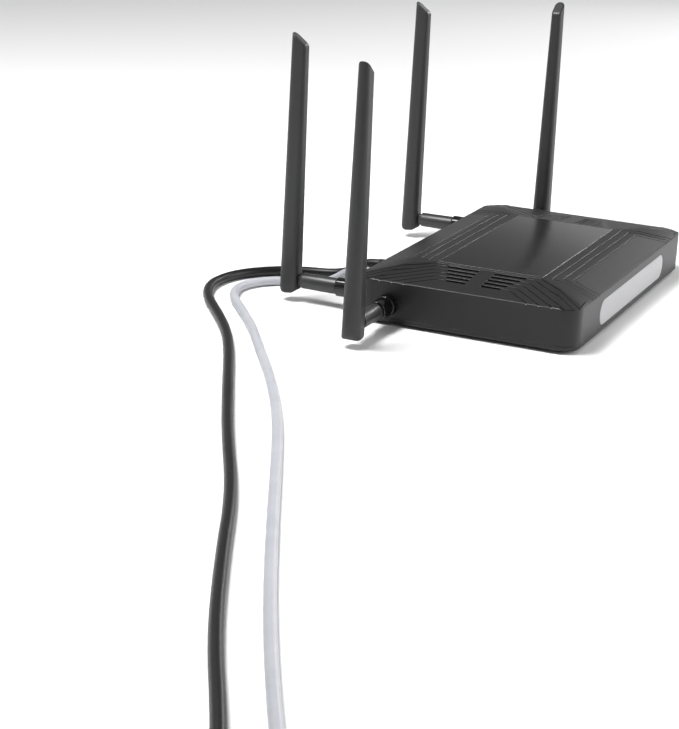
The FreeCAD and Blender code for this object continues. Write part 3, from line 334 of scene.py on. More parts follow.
patchCoil = coilOf(cords["patch"])
powerCoil = coilOf(cords["power"])
plugHalfHeight = 4.0 * mm
patchFar = patchCoil["leave"] + patchCoil["along"] * cords["patch"]["tail"]
patchFar[2] = plugHalfHeight
powerFar = powerCoil["leave"] + powerCoil["along"] * cords["power"]["tail"]
patchCord = makeCord("patchCord", cords["patch"], patchFar, greyPvc)
powerCord = makeCord("powerCord", cords["power"], powerFar, blackPvc)
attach(patchCord, "case")
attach(powerCord, "case")
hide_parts("ethernet_cord", "ethernet_coil")
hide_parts("power_cord", "power_coil")
print("cords laid")


# --- surfaces ---

def keep(piece, body, material=None, replaced=()):
    # a finished piece: its material, the body it rides on, and the CAD nodes it stands for
    if material is not None:
        piece.data.materials.clear()
        piece.data.materials.append(material)
    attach(piece, body)
    if replaced:
        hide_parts(*replaced)
    return piece


def smooth(mesh, degrees=32):
    mesh.polygons.foreach_set("use_smooth", np.ones(len(mesh.polygons), bool))
    mesh.set_sharp_from_angle(angle=math.radians(degrees))


def linked(name, mesh):
    piece = bpy.data.objects.new(name, mesh)
    bpy.context.scene.collection.objects.link(piece)
    return piece


def skin(name, rings, capped=True, degrees=32):
    # quads between neighbouring rings of one surface, its ends closed flat; doubles at poles are merged
    rings = np.asarray(rings, float)
    rows, count = rings.shape[:2]
    at = np.arange(rows * count).reshape(rows, count)
    around = np.roll(at, -1, 1)
    last = rows if not capped else rows - 1
    upper = np.roll(at, -1, 0)
    upperAround = np.roll(around, -1, 0)
    quads = np.stack([at[:last], around[:last], upperAround[:last], upper[:last]], -1).reshape(-1, 4)
    faces = quads.tolist()
    if capped:
        faces += [at[0, ::-1].tolist(), at[-1].tolist()]
    mesh = bpy.data.meshes.new(name)
    mesh.from_pydata(rings.reshape(-1, 3).tolist(), [], faces)
    tidyMesh(mesh)
    smooth(mesh, degrees)
    return linked(name, mesh)


def tidyMesh(mesh):
    # doubles merged and faces turned outwards: the summed volume of the faces' tetrahedra is made positive
    work = bmesh.new()
    work.from_mesh(mesh)
    bmesh.ops.remove_doubles(work, verts=work.verts, dist=1e-7)
    bmesh.ops.dissolve_degenerate(work, edges=work.edges, dist=1e-7)
    if work.calc_volume(signed=True) < 0:
        bmesh.ops.reverse_faces(work, faces=work.faces)
    work.to_mesh(mesh)
    work.free()


def softCorners(points, radius, steps=4):
    # each inner corner becomes a quadratic Bezier curve, B = a (1 - t)^2 + 2 c t (1 - t) + b t^2, whose ends
    # a and b lie radius away from the corner c, or at 0.45 of a short side
    points = [np.array(p, float) for p in points]
    line = [points[0]]
    t = np.linspace(0, 1, steps + 1)[:, None]
    for before, corner, after in zip(points, points[1:], points[2:]):
        back, on = before - corner, after - corner
        start = corner + back * min(radius / np.linalg.norm(back), 0.45)
        end = corner + on * min(radius / np.linalg.norm(on), 0.45)
        line += list(start * (1 - t) ** 2 + corner * 2 * t * (1 - t) + end * t ** 2)
    return np.array(line + [points[-1]])


def placed(points, place):
    # points of a local frame carried to its place: rotation times point, plus origin
    return np.array(points) @ place[:3, :3].T + place[:3, 3]


def lathe(name, profile, place, steps=48, degrees=32):
    # profile of (along, radius) turned about the place's X axis: (along, radius cos a, radius sin a)
    profile = np.array(profile)
    angle = np.arange(steps) * 2 * math.pi / steps
    along = np.repeat(profile[:, :1], steps, 1)
    rings = np.stack([along, profile[:, 1:] * np.cos(angle), profile[:, 1:] * np.sin(angle)], -1)
    return skin(name, placed(rings, place), degrees=degrees)


def roundRect(halfX, halfY, radius, perCorner=8):
    # outline with round corners: corner centre plus radius (cos t, sin t), a quarter turn at each
    t = np.concatenate([np.linspace(q, q + 1, perCorner) for q in range(4)]) * math.pi / 2
    signX = np.repeat([1, -1, -1, 1], perCorner)
    signY = np.repeat([1, 1, -1, -1], perCorner)
    return np.stack([signX * (halfX - radius) + radius * np.cos(t),
                     signY * (halfY - radius) + radius * np.sin(t)], 1)


def stack(name, half, radius, profile, place, degrees=32):
    # rounded rectangle drawn in by inset and raised to height, for each (inset, height) of the profile
    rings = []
    for inset, height in profile:
        outline = roundRect(half[0] - inset, half[1] - inset, max(radius - inset, 0.05 * mm))
        rings.append(np.c_[outline, np.full(len(outline), height)])
    return skin(name, placed(rings, place), degrees=degrees)


def frameAt(origin, alongX, alongY):
    # 4x4 whose columns are the axes X, Y and X cross Y, and the origin
    x = np.array(alongX, float)
    y = np.array(alongY, float)
    matrix = np.eye(4)
    matrix[:3, 0], matrix[:3, 1], matrix[:3, 2], matrix[:3, 3] = x, y, np.cross(x, y), origin
    return matrix


def combine(piece, tool, operation):
    # exact union or difference of two closed surfaces; the tool is removed
    modifier = piece.modifiers.new("cut", "BOOLEAN")
    modifier.operation = operation
    modifier.solver = "EXACT"
    modifier.object = tool
    bpy.context.view_layer.update()
    graph = bpy.context.evaluated_depsgraph_get()
    mesh = bpy.data.meshes.new_from_object(piece.evaluated_get(graph))
    piece.modifiers.clear()
    piece.data = mesh
    bpy.data.objects.remove(tool)
    smooth(mesh)
    return piece


def merged(node, name, flat=0.3):
    # copy of a CAD shell: doubles joined, triangles of one plane made one face
    mesh = frame["nodes"][node].data.copy()
    mesh.name = name
    work = bmesh.new()
    work.from_mesh(mesh)
    bmesh.ops.remove_doubles(work, verts=work.verts, dist=2e-6)
    bmesh.ops.dissolve_limit(work, angle_limit=math.radians(flat), verts=work.verts, edges=work.edges)
    work.to_mesh(mesh)
    work.free()
    if mesh.has_custom_normals:
        mesh.attributes.remove(mesh.attributes["custom_normal"])
    smooth(mesh)
    return linked(name, mesh)


def rimmed(piece, width, wide=None, level=None, degrees=34, segments=2):
    # round of the given width on the outer edges, or wide on those at the level; flats keep their own normals
    mesh = piece.data
    wide = wide or width
    work = bmesh.new()
    work.from_mesh(mesh)
    weight = work.edges.layers.float.new("bevel_weight_edge")
    for edge in work.edges:
        outer = len(edge.link_faces) == 2 and edge.is_convex
        if outer and edge.calc_face_angle(0) > math.radians(degrees):
            atLevel = level is not None and all(abs(vert.co.z - level) < 0.1 * mm for vert in edge.verts)
            edge[weight] = 1.0 if atLevel else width / wide
    work.to_mesh(mesh)
    work.free()
    bevel = piece.modifiers.new("rim", "BEVEL")
    bevel.width = wide
    bevel.segments = segments
    bevel.limit_method = "WEIGHT"
    bevel.use_clamp_overlap = False
    bevel.miter_outer = "MITER_ARC"
    weighted = piece.modifiers.new("weighted", "WEIGHTED_NORMAL")
    weighted.keep_sharp = True
    return piece


# --- case ---

shell = {"edge": 0.2 * mm, "brimEdge": 0.8 * mm, "brimLevel": 29.3 * mm}


def makeShells(v):
    # the edge between the walls and the sloping crown is rounded more than the rest
    for node, name in (("top_cover", "topShell"), ("bottom_cover", "bottomShell")):
        piece = rimmed(merged(node, name), v["edge"], wide=v["brimEdge"], level=v["brimLevel"])
        keep(piece, "case", satinAbs, [node])


def edgeProfile(edge, thick):
    # slab whose upper edge turns over in a quarter circle:
    # inset edge (1 - cos a), height thick - edge (1 - sin a)
    t = np.linspace(0, math.pi / 2, 5)
    return [(0, 0)] + [(edge * (1 - math.cos(a)), thick - edge * (1 - math.sin(a))) for a in t]


panel = {"corner": 0.6 * mm, "edge": 0.35 * mm}


def makePanel(v):
    low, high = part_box("top_panel")
    middle = (low + high) / 2
    half = [(high.x - low.x) / 2, (high.y - low.y) / 2]
    place = frameAt([middle.x, middle.y, low.z], (1, 0, 0), (0, 1, 0))
    piece = stack("topPanel", half, v["corner"], edgeProfile(v["edge"], high.z - low.z), place)
    keep(piece, "case", polishedAbs, ["top_panel"])


window = {"edge": 0.5 * mm, "cornerRoom": 0.01 * mm}


def makeWindow(v):
    # round-ended lens in the front wall
    low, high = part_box("front_window")
    middle = (low + high) / 2
    half = [(high.x - low.x) / 2, (high.z - low.z) / 2]
    place = frameAt([middle.x, high.y, middle.z], (1, 0, 0), (0, 0, 1))
    profile = edgeProfile(v["edge"], high.y - low.y)
    piece = stack("frontWindow", half, half[1] - v["cornerRoom"], profile, place)
    keep(piece, "case", frostedPolycarbonate, ["front_window"])


foot = {"radius": 6.9 * mm, "dish": 0.25 * mm, "slope": 0.1 * mm, "slopeShare": 0.55, "rimShare": 0.7,
        "edge": 0.6 * mm}


def makeFeet(v):
    # turned rubber feet, slightly dished so that the rim grips
    low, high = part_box("rubber_feet")
    r, tall = v["radius"], high.z - low.z
    profile = softCorners([(v["dish"], 0), (v["slope"], r * v["slopeShare"]), (0, r * v["rimShare"]), (0, r),
                           (tall, r), (tall, 0)], v["edge"])
    places = [(x, y) for x in (low.x + r, high.x - r) for y in (low.y + r, high.y - r)]
    for k, (x, y) in enumerate(places, start=1):
        piece = lathe(f"rubberFoot{k}", profile, frameAt([x, y, low.z], (0, 0, 1), (1, 0, 0)))
        keep(piece, "case", siliconeRubber, ["rubber_feet"])


makeShells(shell)
makePanel(panel)
makeWindow(window)
makeFeet(foot)
print("case made")


# --- antennas: worked out along +X from the wall, hinge axis along Y, then carried to each place ---

antenna = {
    "flangeRadius": 6.9 * mm, "flangeThick": 7.0 * mm,
    "collarRadius": 6.3 * mm, "collarLength": 20.0 * mm,
    "neckRadius": 4.6 * mm, "neckLength": 3.2 * mm,
    "boreRadius": 4.2 * mm, "boreDepth": 3.0 * mm,
    "armGap": 0.3 * mm, "armRoot": 5.3 * mm, "armEnd": 5.1 * mm,
    "shaftRadius": 4.0 * mm, "shaftLength": 14.0 * mm,
    "tongueHalf": 2.5 * mm, "tongueRadius": 3.55 * mm,
    "bladeBase": (6.7 * mm, 6.4 * mm), "bladeTip": (5.25 * mm, 3.6 * mm),
    "bladeLength": 166.0 * mm, "tipDrop": 8.0 * mm, "drop": 8.6 * mm, "heel": 4.0 * mm,
    "outerRound": 0.92, "innerRound": 0.6, "edge": 1.3 * mm,
    "slotHalf": 2.7 * mm, "slotRoom": 3.9 * mm,
    "collarEdge": 0.45 * mm, "armEdge": 0.6 * mm, "tongueEdge": 0.35 * mm,
    "hingeGap": 0.5 * mm, "shaftShown": 0.2, "tongueSunk": 4.0 * mm,
    "cornerSteps": 12, "edgeSteps": 6, "rows": 30, "firstRow": 0.02,
}
antennaNames = ["rear_left", "left", "right", "rear_right"]


def antennaPlace(k):
    # the swivel joint's point and axis give the wall point and the outward direction; Z stays up
    joint = joints[antennaNames[k - 1] + "_swivel"]
    outward = np.array(joint["axis"], float)
    return frameAt(joint["pos_m"], outward, np.cross([0, 0, 1], outward))


def hingeReach(k):
    swivel = np.array(joints[antennaNames[k - 1] + "_swivel"]["pos_m"])
    return float(np.linalg.norm(np.array(joints[antennaNames[k - 1] + "_tilt"]["pos_m"]) - swivel))


def makeCollar(k, v):
    # turned collar: neck through the wall, thick flange, barrel, and a counterbore for the arm
    r, end = v["collarRadius"], v["collarLength"]
    profile = softCorners([
        (-v["neckLength"], 0), (-v["neckLength"], v["neckRadius"]),
        (0, v["neckRadius"]), (0, v["flangeRadius"]),
        (v["flangeThick"], v["flangeRadius"]), (v["flangeThick"], r), (end, r), (end, v["boreRadius"]),
        (end - v["boreDepth"], v["boreRadius"]), (end - v["boreDepth"], 0)], v["collarEdge"])
    piece = lathe(f"collar{k}", profile, antennaPlace(k), steps=64)
    keep(piece, "case", glossAbs, [f"antenna_socket_{k}"])


def makeArm(k, v):
    # turned barrel that narrows a little to its end, united with the flat tongue of the hinge
    reach = hingeReach(k)
    root = v["collarLength"] + v["armGap"]
    hidden = root - v["shaftLength"] * v["shaftShown"]
    shoulder = reach - v["drop"] - v["hingeGap"]
    place = antennaPlace(k)
    profile = softCorners([(hidden, 0), (hidden, v["shaftRadius"]), (root, v["shaftRadius"]),
                           (root, v["armRoot"]), (shoulder, v["armEnd"]), (shoulder, 0)], v["armEdge"])
    arm = lathe(f"arm{k}", profile, place, steps=64)
    angle = np.linspace(-math.pi / 2, math.pi / 2, 25)
    half, edge, start = v["tongueHalf"], v["tongueEdge"], shoulder - v["tongueSunk"]
    rings = []
    for side, inset in ((-half, edge), (-half + edge, 0), (half - edge, 0), (half, edge)):
        r = v["tongueRadius"] - inset
        end = [(reach + r * math.cos(t), r * math.sin(t)) for t in angle]
        rings.append([(x, side, z) for x, z in [(start, -r)] + end + [(start, r)]])
    arm = combine(arm, skin(f"tongue{k}", placed(rings, place)), "UNION")
    keep(arm, antennaNames[k - 1] + "_arm", satinArm, [f"antenna_arm_{k}"])


def bladeBottom(x, v):
    # height of the blade's foot: -sqrt(drop^2 - x^2) towards the wall, level in the middle,
    # and a quarter circle, heel - sqrt(heel^2 - over^2), at the heel
    a, drop, heel = v["bladeBase"][0], v["drop"], v["heel"]
    inside = -np.sqrt(drop ** 2 - np.minimum(x, 0) ** 2)
    over = np.clip(x - (a - heel), 0, heel)
    return inside + heel - np.sqrt(heel ** 2 - over ** 2)


def makeBlade(k, v):
    # section: rounded rectangle (corner radii outerRound and innerRound of the half width), narrowing
    # linearly with height
    # the foot follows bladeBottom, the tip is a slanted plane, and both turn over in quarter circles
    reach = hingeReach(k)
    steps = v["cornerSteps"]
    t = np.concatenate([np.linspace(q, q + 1, steps) for q in range(4)]) * math.pi / 2
    signX = np.repeat([1, -1, -1, 1], steps)
    signY = np.repeat([1, 1, -1, -1], steps)
    share = np.repeat([v["outerRound"], v["innerRound"], v["innerRound"], v["outerRound"]], steps)
    span = v["bladeLength"] + v["tipDrop"]
    slope = v["tipDrop"] / (2 * v["bladeTip"][0])
    top = v["bladeLength"] - v["drop"] - v["tipDrop"] / 2

    def ring(level, inset, lift):
        # one ring at a share of the height, drawn in by inset and moved up by lift
        def at(height):
            part = np.clip((height + v["drop"]) / span, 0, 1)
            a = v["bladeBase"][0] + part * (v["bladeTip"][0] - v["bladeBase"][0])
            b = v["bladeBase"][1] + part * (v["bladeTip"][1] - v["bladeBase"][1])
            r = share * b
            return signX * (a - r) + (r - inset) * np.cos(t), signY * (b - r) + (r - inset) * np.sin(t)

        x, y = at(np.full(len(t), level * v["bladeLength"] - v["drop"]))
        for _ in range(2):
            low = bladeBottom(x, v)
            high = top + slope * (x + v["bladeTip"][0])
            height = low + level * (high - low) + lift
            x, y = at(height)
        return np.stack([x, y, height], 1)

    quarter = np.linspace(0, math.pi / 2, v["edgeSteps"])
    e = v["edge"]
    rings = [ring(0, e * (1 - math.sin(q)), e * (1 - math.cos(q))) for q in quarter]
    foot = rings[0]
    closing = [np.c_[foot[:, :2] * s, bladeBottom(foot[:, 0] * s, v)] for s in np.linspace(0, 0.94, 8)]
    rings += [ring(level, 0, 0) for level in np.linspace(v["firstRow"], 1 - v["firstRow"], v["rows"])]
    rings += [ring(1, e * (1 - math.cos(q)), -e * (1 - math.sin(q))) for q in quarter]
    tip = rings[-1]
    middle = tip.mean(0)
    closingTip = [middle + (tip - middle) * s for s in np.linspace(0.9, 0, 5)]
    local = np.array(closing + rings + closingTip) + np.array([reach, 0, 0])
    place = antennaPlace(k)
    blade = skin(f"blade{k}", placed(local, place), degrees=40)

    room, far = v["slotRoom"], 2 * v["drop"]
    arc = np.linspace(math.pi / 2, 0, 12)
    rounded = [(room * math.cos(a), room * math.sin(a)) for a in arc]
    outline = [(-far, room)] + rounded + [(room, -far), (-far, -far)]
    walls = [[(reach + x, y, z) for x, z in outline] for y in (-v["slotHalf"], v["slotHalf"])]
    blade = combine(blade, skin(f"slot{k}", placed(walls, place)), "DIFFERENCE")
    keep(blade, antennaNames[k - 1] + "_blade", satinBlade, [f"antenna_blade_{k}"])


for k in range(1, 5):
    makeCollar(k, antenna)
    makeArm(k, antenna)
    makeBlade(k, antenna)
print("antennas made")


# --- plugs, adapter and ties ---

def madeOf(nodes, material):
    # a CAD piece that is right as it is, in the finish of the real one
    for node in nodes:
        data = frame["nodes"][node].data
        data.materials.clear()
        data.materials.append(material)


plug = {
    "half": (5.8 * mm, 4.0 * mm), "length": 21.5 * mm, "corner": 0.5 * mm, "edge": 0.3 * mm,
    "band": (8.0 * mm, 8.2 * mm, 9.4 * mm, 9.6 * mm), "bandDepth": 0.25 * mm,
    "latchFrom": 2.0 * mm, "latchRun": 13.0 * mm, "latchHalf": 2.9 * mm, "latchTaper": 0.25,
    "latchThick": 0.8 * mm, "latchGap": 0.4 * mm, "latchBow": 0.3 * mm, "latchRows": 12,
    "rootRun": 2.0 * mm, "rootDrop": 5.1 * mm,
    "contacts": 8, "pitch": 1.02 * mm, "contactHalf": 0.15 * mm, "contactFrom": 0.6 * mm,
    "contactTo": 7.0 * mm, "contactSunk": 1.9 * mm, "contactRise": 4.02 * mm,
    "boot": 9.0 * mm, "bootRadius": 4.0 * mm, "bootEnd": 3.6 * mm, "ribs": 5, "ribDepth": 0.28 * mm,
}


def makeNetworkPlug(name, place, up, v, nodes):
    # place: X across, Y along from the nose, Z up; up is 1 with the latch below, -1 with it above
    length, edge, depth = v["length"], v["edge"], v["bandDepth"]
    first, second, third, fourth = v["band"]
    profile = [(edge, 0), (0, edge), (0, first), (depth, second), (depth, third), (0, fourth),
               (0, length - edge), (edge, length)]
    lengthwise = frameAt(place[:3, 3], place[:3, 0], place[:3, 2] * -1)
    lengthwise[:3, 2] = place[:3, 1]
    body = stack(name + "Body", v["half"], v["corner"], profile, lengthwise)

    # latch: gap + bow sin(pi s) clear of the body and half (1 - taper s) wide, s from 0 at its root to 1
    rings = []
    for s in np.linspace(0, 1, v["latchRows"]):
        high = -up * (v["half"][1] + v["latchGap"] + v["latchBow"] * math.sin(math.pi * s))
        low = high - up * v["latchThick"]
        y = v["latchFrom"] + v["latchRun"] * s
        x = v["latchHalf"] * (1 - v["latchTaper"] * s)
        rings.append([(-x, y, low), (x, y, low), (x, y, high), (-x, y, high)])
    latch = skin(name + "Latch", placed(rings, place))
    near, drop = v["latchFrom"], -up * v["rootDrop"]
    rectangle = [(near, drop), (near + v["rootRun"], drop), (near + v["rootRun"], 0), (near, 0)]
    root = [[(x, y, z) for y, z in rectangle] for x in (-v["latchHalf"], v["latchHalf"])]
    body = combine(body, skin(name + "Root", placed(root, place)), "UNION")
    body = combine(body, latch, "UNION")
    keep(body, "case", clearPolycarbonate, [nodes[0]])

    mesh = bpy.data.meshes.new(name + "Contacts")
    work = bmesh.new()
    for k in range(v["contacts"]):
        x = v["pitch"] * (k - (v["contacts"] - 1) / 2)
        corners = [(x + a, y, up * z) for a in (-v["contactHalf"], v["contactHalf"])
                   for y in (v["contactFrom"], v["contactTo"]) for z in (v["contactSunk"], v["contactRise"])]
        bmesh.ops.convex_hull(work, input=[work.verts.new(p) for p in placed(corners, place)])
    work.to_mesh(mesh)
    work.free()
    keep(linked(name + "Contacts", mesh), "case", flashGold)

    # boot: radius falls linearly along s, less a rib wave of ribDepth (1 - cos(2 pi ribs s)) / 2
    s = np.linspace(0, 1, 61)
    wave = v["ribDepth"] * (np.cos(2 * math.pi * v["ribs"] * s) - 1) / 2
    radius = v["bootRadius"] + (v["bootEnd"] - v["bootRadius"]) * s + wave
    profile = [(length, 0)] + list(zip(length + v["boot"] * s, radius)) + [(length + v["boot"], 0)]
    boot = lathe(name + "Boot", profile, frameAt(place[:3, 3], place[:3, 1], place[:3, 0]))
    keep(boot, "case", greyPvc, [nodes[1]])
    return [body, boot]


def cordFrame(noseAt, heading):
    # X across and Y along the heading, Z up
    heading = np.array(heading, float)
    return frameAt(noseAt, np.cross(heading, [0, 0, 1]), heading)


patchStart = np.array(cords["patch"]["route"][0])
nearNose = patchStart - np.array([0, plug["length"] + plug["boot"], 0])
nearPlug = makeNetworkPlug("patchPlug", cordFrame(nearNose, (0, 1, 0)), 1, plug,
                           ["ethernet_plug", "ethernet_boot"])
farNose = patchFar + patchCoil["along"] * (plug["length"] + plug["boot"])
farPlug = makeNetworkPlug("patchFarPlug", cordFrame(farNose, -patchCoil["along"]), -1, plug,
                          ["ethernet_far_plug", "ethernet_far_boot"])

powerPlugSizes = {
    "barrel": 2.75 * mm, "bore": 1.25 * mm, "boreStop": 2.0 * mm, "sunk": 1.0 * mm, "barrelLength": 9.5 * mm,
    "barrelEdge": 0.25 * mm, "handle": 5.0 * mm, "handleLength": 11.0 * mm, "handleEdge": 0.3 * mm,
    "rings": 3, "firstRing": 2.5 * mm, "ringPitch": 2.6 * mm, "ring": (0.3 * mm, 0.9 * mm, 1.2 * mm),
    "ringDepth": 0.35 * mm, "relief": 7.0 * mm, "step": 0.9 * mm, "reliefEnd": 3.7 * mm,
    "ribs": 3, "firstRib": 0.6 * mm, "ribPitch": 2.1 * mm, "rib": (0.2 * mm, 0.8 * mm, 1.0 * mm),
    "ribDepth": 0.5 * mm,
}


def makePowerPlug(v):
    # nickel barrel, then a moulded handle with three grip rings and a ribbed, tapered relief
    start = np.array(cords["power"]["route"][0])
    total = v["barrelLength"] + v["handleLength"] + v["relief"]
    place = frameAt(start - np.array([0, total, 0]), (0, 1, 0), (1, 0, 0))
    r, b, h = v["barrel"], v["barrelLength"], v["handle"]
    tube = [(b + v["sunk"], 0), (b + v["sunk"], r), (0, r), (0, v["bore"]), (b - v["boreStop"], v["bore"]),
            (b - v["boreStop"], 0)]
    barrel = lathe("powerPlugBarrel", softCorners(tube, v["barrelEdge"]), place)
    keep(barrel, "case", tinPlate, ["power_plug"])
    points = [(b, 0), (b, h)]
    for k in range(v["rings"]):
        x = b + v["firstRing"] + v["ringPitch"] * k
        one, two, three = v["ring"]
        deep = h - v["ringDepth"]
        points += [(x, h), (x + one, deep), (x + two, deep), (x + three, h)]
    end, thick = b + v["handleLength"], h - v["step"]
    points += [(end, h), (end, thick)]
    for k in range(v["ribs"]):
        x = end + v["firstRib"] + v["ribPitch"] * k
        one, two, three = v["rib"]
        near = thick - (thick - v["reliefEnd"]) * (x - end) / v["relief"]
        deep = near - v["ribDepth"]
        points += [(x, near), (x + one, deep), (x + two, deep), (x + three, near)]
    points += [(end + v["relief"], v["reliefEnd"]), (end + v["relief"], 0)]
    handle = lathe("powerPlugHandle", softCorners(points, v["handleEdge"], 3), place)
    keep(handle, "case", blackPvc)
    return [barrel, handle]


powerPlug = makePowerPlug(powerPlugSizes)

adapter = {
    "size": (46.0 * mm, 70.0 * mm, 30.0 * mm), "round": 3.5 * mm, "corner": 4.5 * mm, "seam": 0.4 * mm,
    "seamAt": 0.62, "relief": 14.0 * mm, "reliefStart": 3.7 * mm, "reliefEnd": 5.0 * mm,
    "reliefSunk": 1.0 * mm,
    "ribs": 4, "firstRib": 1.5 * mm, "ribPitch": 3.0 * mm, "rib": (0.3 * mm, 1.1 * mm, 1.4 * mm),
    "ribDepth": 0.6 * mm, "ribRise": 0.1 * mm, "reliefEdge": 0.4 * mm,
}


def makeAdapter(v):
    # rounded block built up along its length, with a seam where its two halves meet, and a ribbed relief
    heading = powerCoil["along"]
    half = [v["size"][0] / 2, v["size"][2] / 2]
    across = np.cross(heading, [0, 0, 1])
    start = np.array([powerFar[0], powerFar[1], half[1]]) + heading * v["relief"]
    place = frameAt(start, across, (0, 0, 1))
    place[:3, 2] = heading
    r, length, seam = v["round"], v["size"][1], v["seam"]
    t = np.linspace(0, math.pi / 2, 7)
    ends = [(r * (1 - math.sin(a)), r * (1 - math.cos(a))) for a in t]
    at = length * v["seamAt"]
    waist = [(0, at - 2 * seam), (seam, at - seam), (seam, at + seam), (0, at + 2 * seam)]
    profile = ends + waist + [(i, length - h) for i, h in reversed(ends)]
    block = stack("adapterBlock", half, v["corner"], profile, place)
    keep(block, "case", grainedAbs, ["power_adapter"])
    points = [(0, 0), (0, v["reliefStart"])]
    for k in range(v["ribs"]):
        x = v["firstRib"] + v["ribPitch"] * k
        one, two, three = v["rib"]
        near = v["reliefStart"] + (v["reliefEnd"] - v["reliefStart"]) * x / v["relief"]
        deep = near - v["ribDepth"]
        points += [(x, near), (x + one, deep), (x + two, deep), (x + three, near + v["ribRise"])]
    sunk = v["relief"] + v["reliefSunk"]
    points += [(sunk, v["reliefEnd"]), (sunk, 0)]
    points = softCorners(points, v["reliefEdge"], 3)
    relief = lathe("adapterRelief", points, frameAt(powerFar, heading, across))
    keep(relief, "case", blackPvc)
    return [block, relief]


adapterPieces = makeAdapter(adapter)
madeOf(["adapter_pins"], tinPlate)


tie = {"thick": 0.8 * mm, "halfWide": 3.0 * mm, "outerCorner": 0.35, "innerCorner": 0.3, "cornerSteps": 10}


def makeTie(name, coil, d, node, v):
    # band round the coil's section, opposite the tail: a rounded rectangle in the radial plane, 6 mm wide;
    # d is the cord's diameter, and the corners are shares of it
    thick, half, steps = v["thick"], v["halfWide"], v["cornerSteps"]
    middle = coil["outer"] - d / 2
    outer = roundRect(d + thick / 2, d + thick / 4, v["outerCorner"] * d, steps)
    inner = roundRect(d - thick / 2, d - thick * 3 / 4, v["innerCorner"] * d, steps)
    inward = coil["centre"] - coil["leave"]
    inward[2] = 0
    inward = inward / np.linalg.norm(inward)
    upward = np.array([0, 0, 1.0])
    side = np.cross(upward, inward)
    base = np.array([coil["centre"][0], coil["centre"][1], d + thick / 4])
    rings = []
    for outline, shift in ((outer, -half), (outer, half), (inner, half), (inner, -half)):
        rings.append(base + inward * (middle + outline[:, :1]) + upward * outline[:, 1:] + side * shift)
    band = skin(name, rings, capped=False)
    keep(band, "case", loopTape, [node])
    return band


patchTie = makeTie("patchTie", patchCoil, cords["patch"]["diameter"], "ethernet_tie", tie)
powerTie = makeTie("powerTie", powerCoil, cords["power"]["diameter"], "power_tie", tie)
print("plugs, adapter and ties made")


# --- sockets and buttons ---

jack = {"mouthHalf": 6.05 * mm, "lip": 0.2 * mm, "wall": 0.5 * mm, "backWall": 1.0 * mm, "edge": 0.15 * mm}
smallEdge = 0.12 * mm


def makeJack(node, name, v):
    # the CAD socket merged; faces inside its mouth are the black liner, and the rest is the tinned shell
    piece = merged(node, name)
    low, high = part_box(node)
    mesh = piece.data
    mesh.materials.append(tinPlate)
    mesh.materials.append(dullNylon)
    centres = np.zeros(len(mesh.polygons) * 3)
    mesh.polygons.foreach_get("center", centres)
    x, y, z = centres.reshape(-1, 3).T
    inside = abs(x - (low.x + high.x) / 2) < v["mouthHalf"]
    inside &= (y > low.y + v["backWall"]) & (y < high.y - v["lip"])
    inside &= (z > low.z + v["wall"]) & (z < high.z - v["wall"])
    mesh.polygons.foreach_set("material_index", inside.astype(np.int32))
    rimmed(piece, v["edge"])
    keep(piece, "case", None, [node])


makeJack("wan_jack", "wanJack", jack)
for k in range(1, 5):
    makeJack(f"lan_jack_{k}", f"lanJack{k}", jack)
for node, name, body, slotName, material in (
        ("dc_jack", "dcJack", "case", "black_plastic", dullNylon),
        ("power_button", "powerButton", "power_button", "button", satinButton),
        ("wps_button", "wpsButton", "wps_button", "button", satinButton),
        ("case_screws", "caseScrews", "case", "screw", zincSteel)):
    keep(rimmed(merged(node, name), smallEdge), body, material, [node])


# --- what lies inside ---

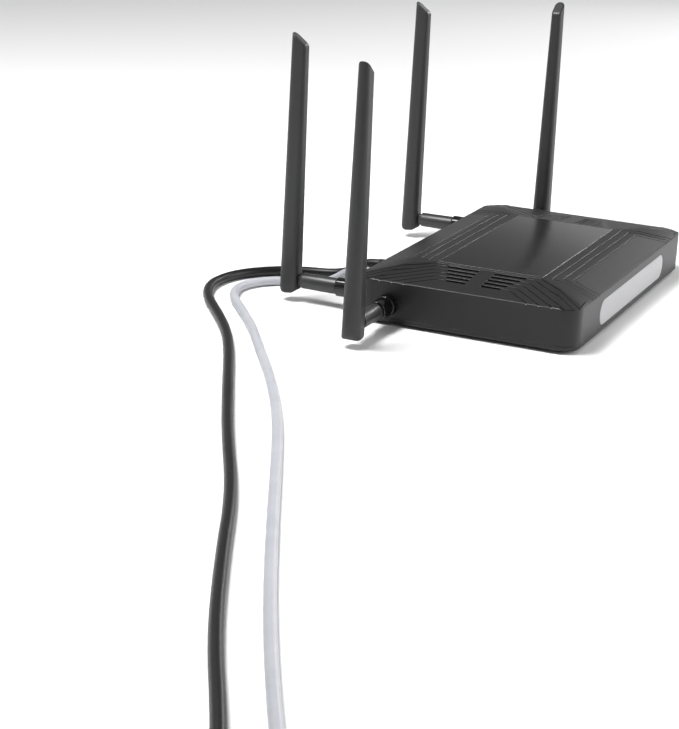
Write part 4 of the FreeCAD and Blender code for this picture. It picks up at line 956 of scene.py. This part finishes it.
madeOf(["circuit_board"], solderMask)
madeOf(["shield_cans"], tinPlate)
madeOf(["main_chips", "line_transformers"], mouldedEpoxy)
madeOf(["heat_sink", "capacitors"], bareAluminium)
madeOf(["status_lamps", "light_guide"], clearPolycarbonate)
madeOf(["antenna_leads"], blackPvc)
madeOf(["antenna_lead_plugs", "jack_contacts"] + [f"antenna_element_{k}" for k in range(1, 5)], flashGold)
madeOf(["power_switch", "wps_switch"], dullNylon)
madeOf([f"hinge_pin_{k}" for k in range(1, 5)], zincSteel)
print("sockets, buttons and inner pieces made")


# --- floor and light ---

floorHalf = 14.0


def makeFloor():
    mesh = bpy.data.meshes.new("floor")
    corners = [(x * floorHalf, y * floorHalf, 0) for x, y in ((-1, -1), (1, -1), (1, 1), (-1, 1))]
    mesh.from_pydata(corners, [], [(0, 1, 2, 3)])
    material = newMaterial("paleFloor", {"Base Color": linear("#f0f0f0"), "Roughness": 0.9})[0]
    mesh.materials.append(material)
    linked("floor", mesh)


studio = {
    "horizon": 0.80, "zenith": 0.26, "band": (0.04, 0.20), "aim": (0.0, 0.0, 0.05),
    "boxes": {              # place, width in metres, watts
        "overheadBox": ((-0.38, 0.42, 1.25), 0.5, 24.0), "frontBox": ((0.9, -1.9, 0.9), 1.3, 30.0),
        "rearBox": ((-1.2, 1.8, 1.2), 1.2, 8.0), "edgeBox": ((1.77, -0.31, 0.80), 0.4, 9.0)},
}


def makeLights(v):
    # a sky that is bright at the horizon and dims over the first 12 degrees up, and four soft boxes
    world = bpy.data.worlds.new("studio")
    world.use_nodes = True
    tree = world.node_tree
    background = tree.nodes["Background"]
    direction = addNode(tree, "ShaderNodeTexCoord").outputs["Generated"]
    parts = addNode(tree, "ShaderNodeSeparateXYZ", {}, {0: direction})
    glow = addNode(tree, "ShaderNodeMapRange", {
        "From Min": v["band"][0], "From Max": v["band"][1], "To Min": v["horizon"], "To Max": v["zenith"]},
        {"Value": parts.outputs[2]})
    background.inputs[0].default_value = (1.0, 1.0, 1.0, 1.0)
    tree.links.new(glow.outputs[0], background.inputs[1])
    bpy.context.scene.world = world
    bpy.context.scene.view_settings.view_transform = "Standard"
    for name, (place, size, power) in v["boxes"].items():
        data = bpy.data.lights.new(name, "AREA")
        data.energy = power
        data.size = size
        light = bpy.data.objects.new(name, data)
        light.location = place
        aim = Vector(v["aim"]) - Vector(place)
        light.rotation_euler = aim.to_track_quat("-Z", "Y").to_euler()
        bpy.context.scene.collection.objects.link(light)


makeFloor()
makeLights(studio)
print("floor and lights made")
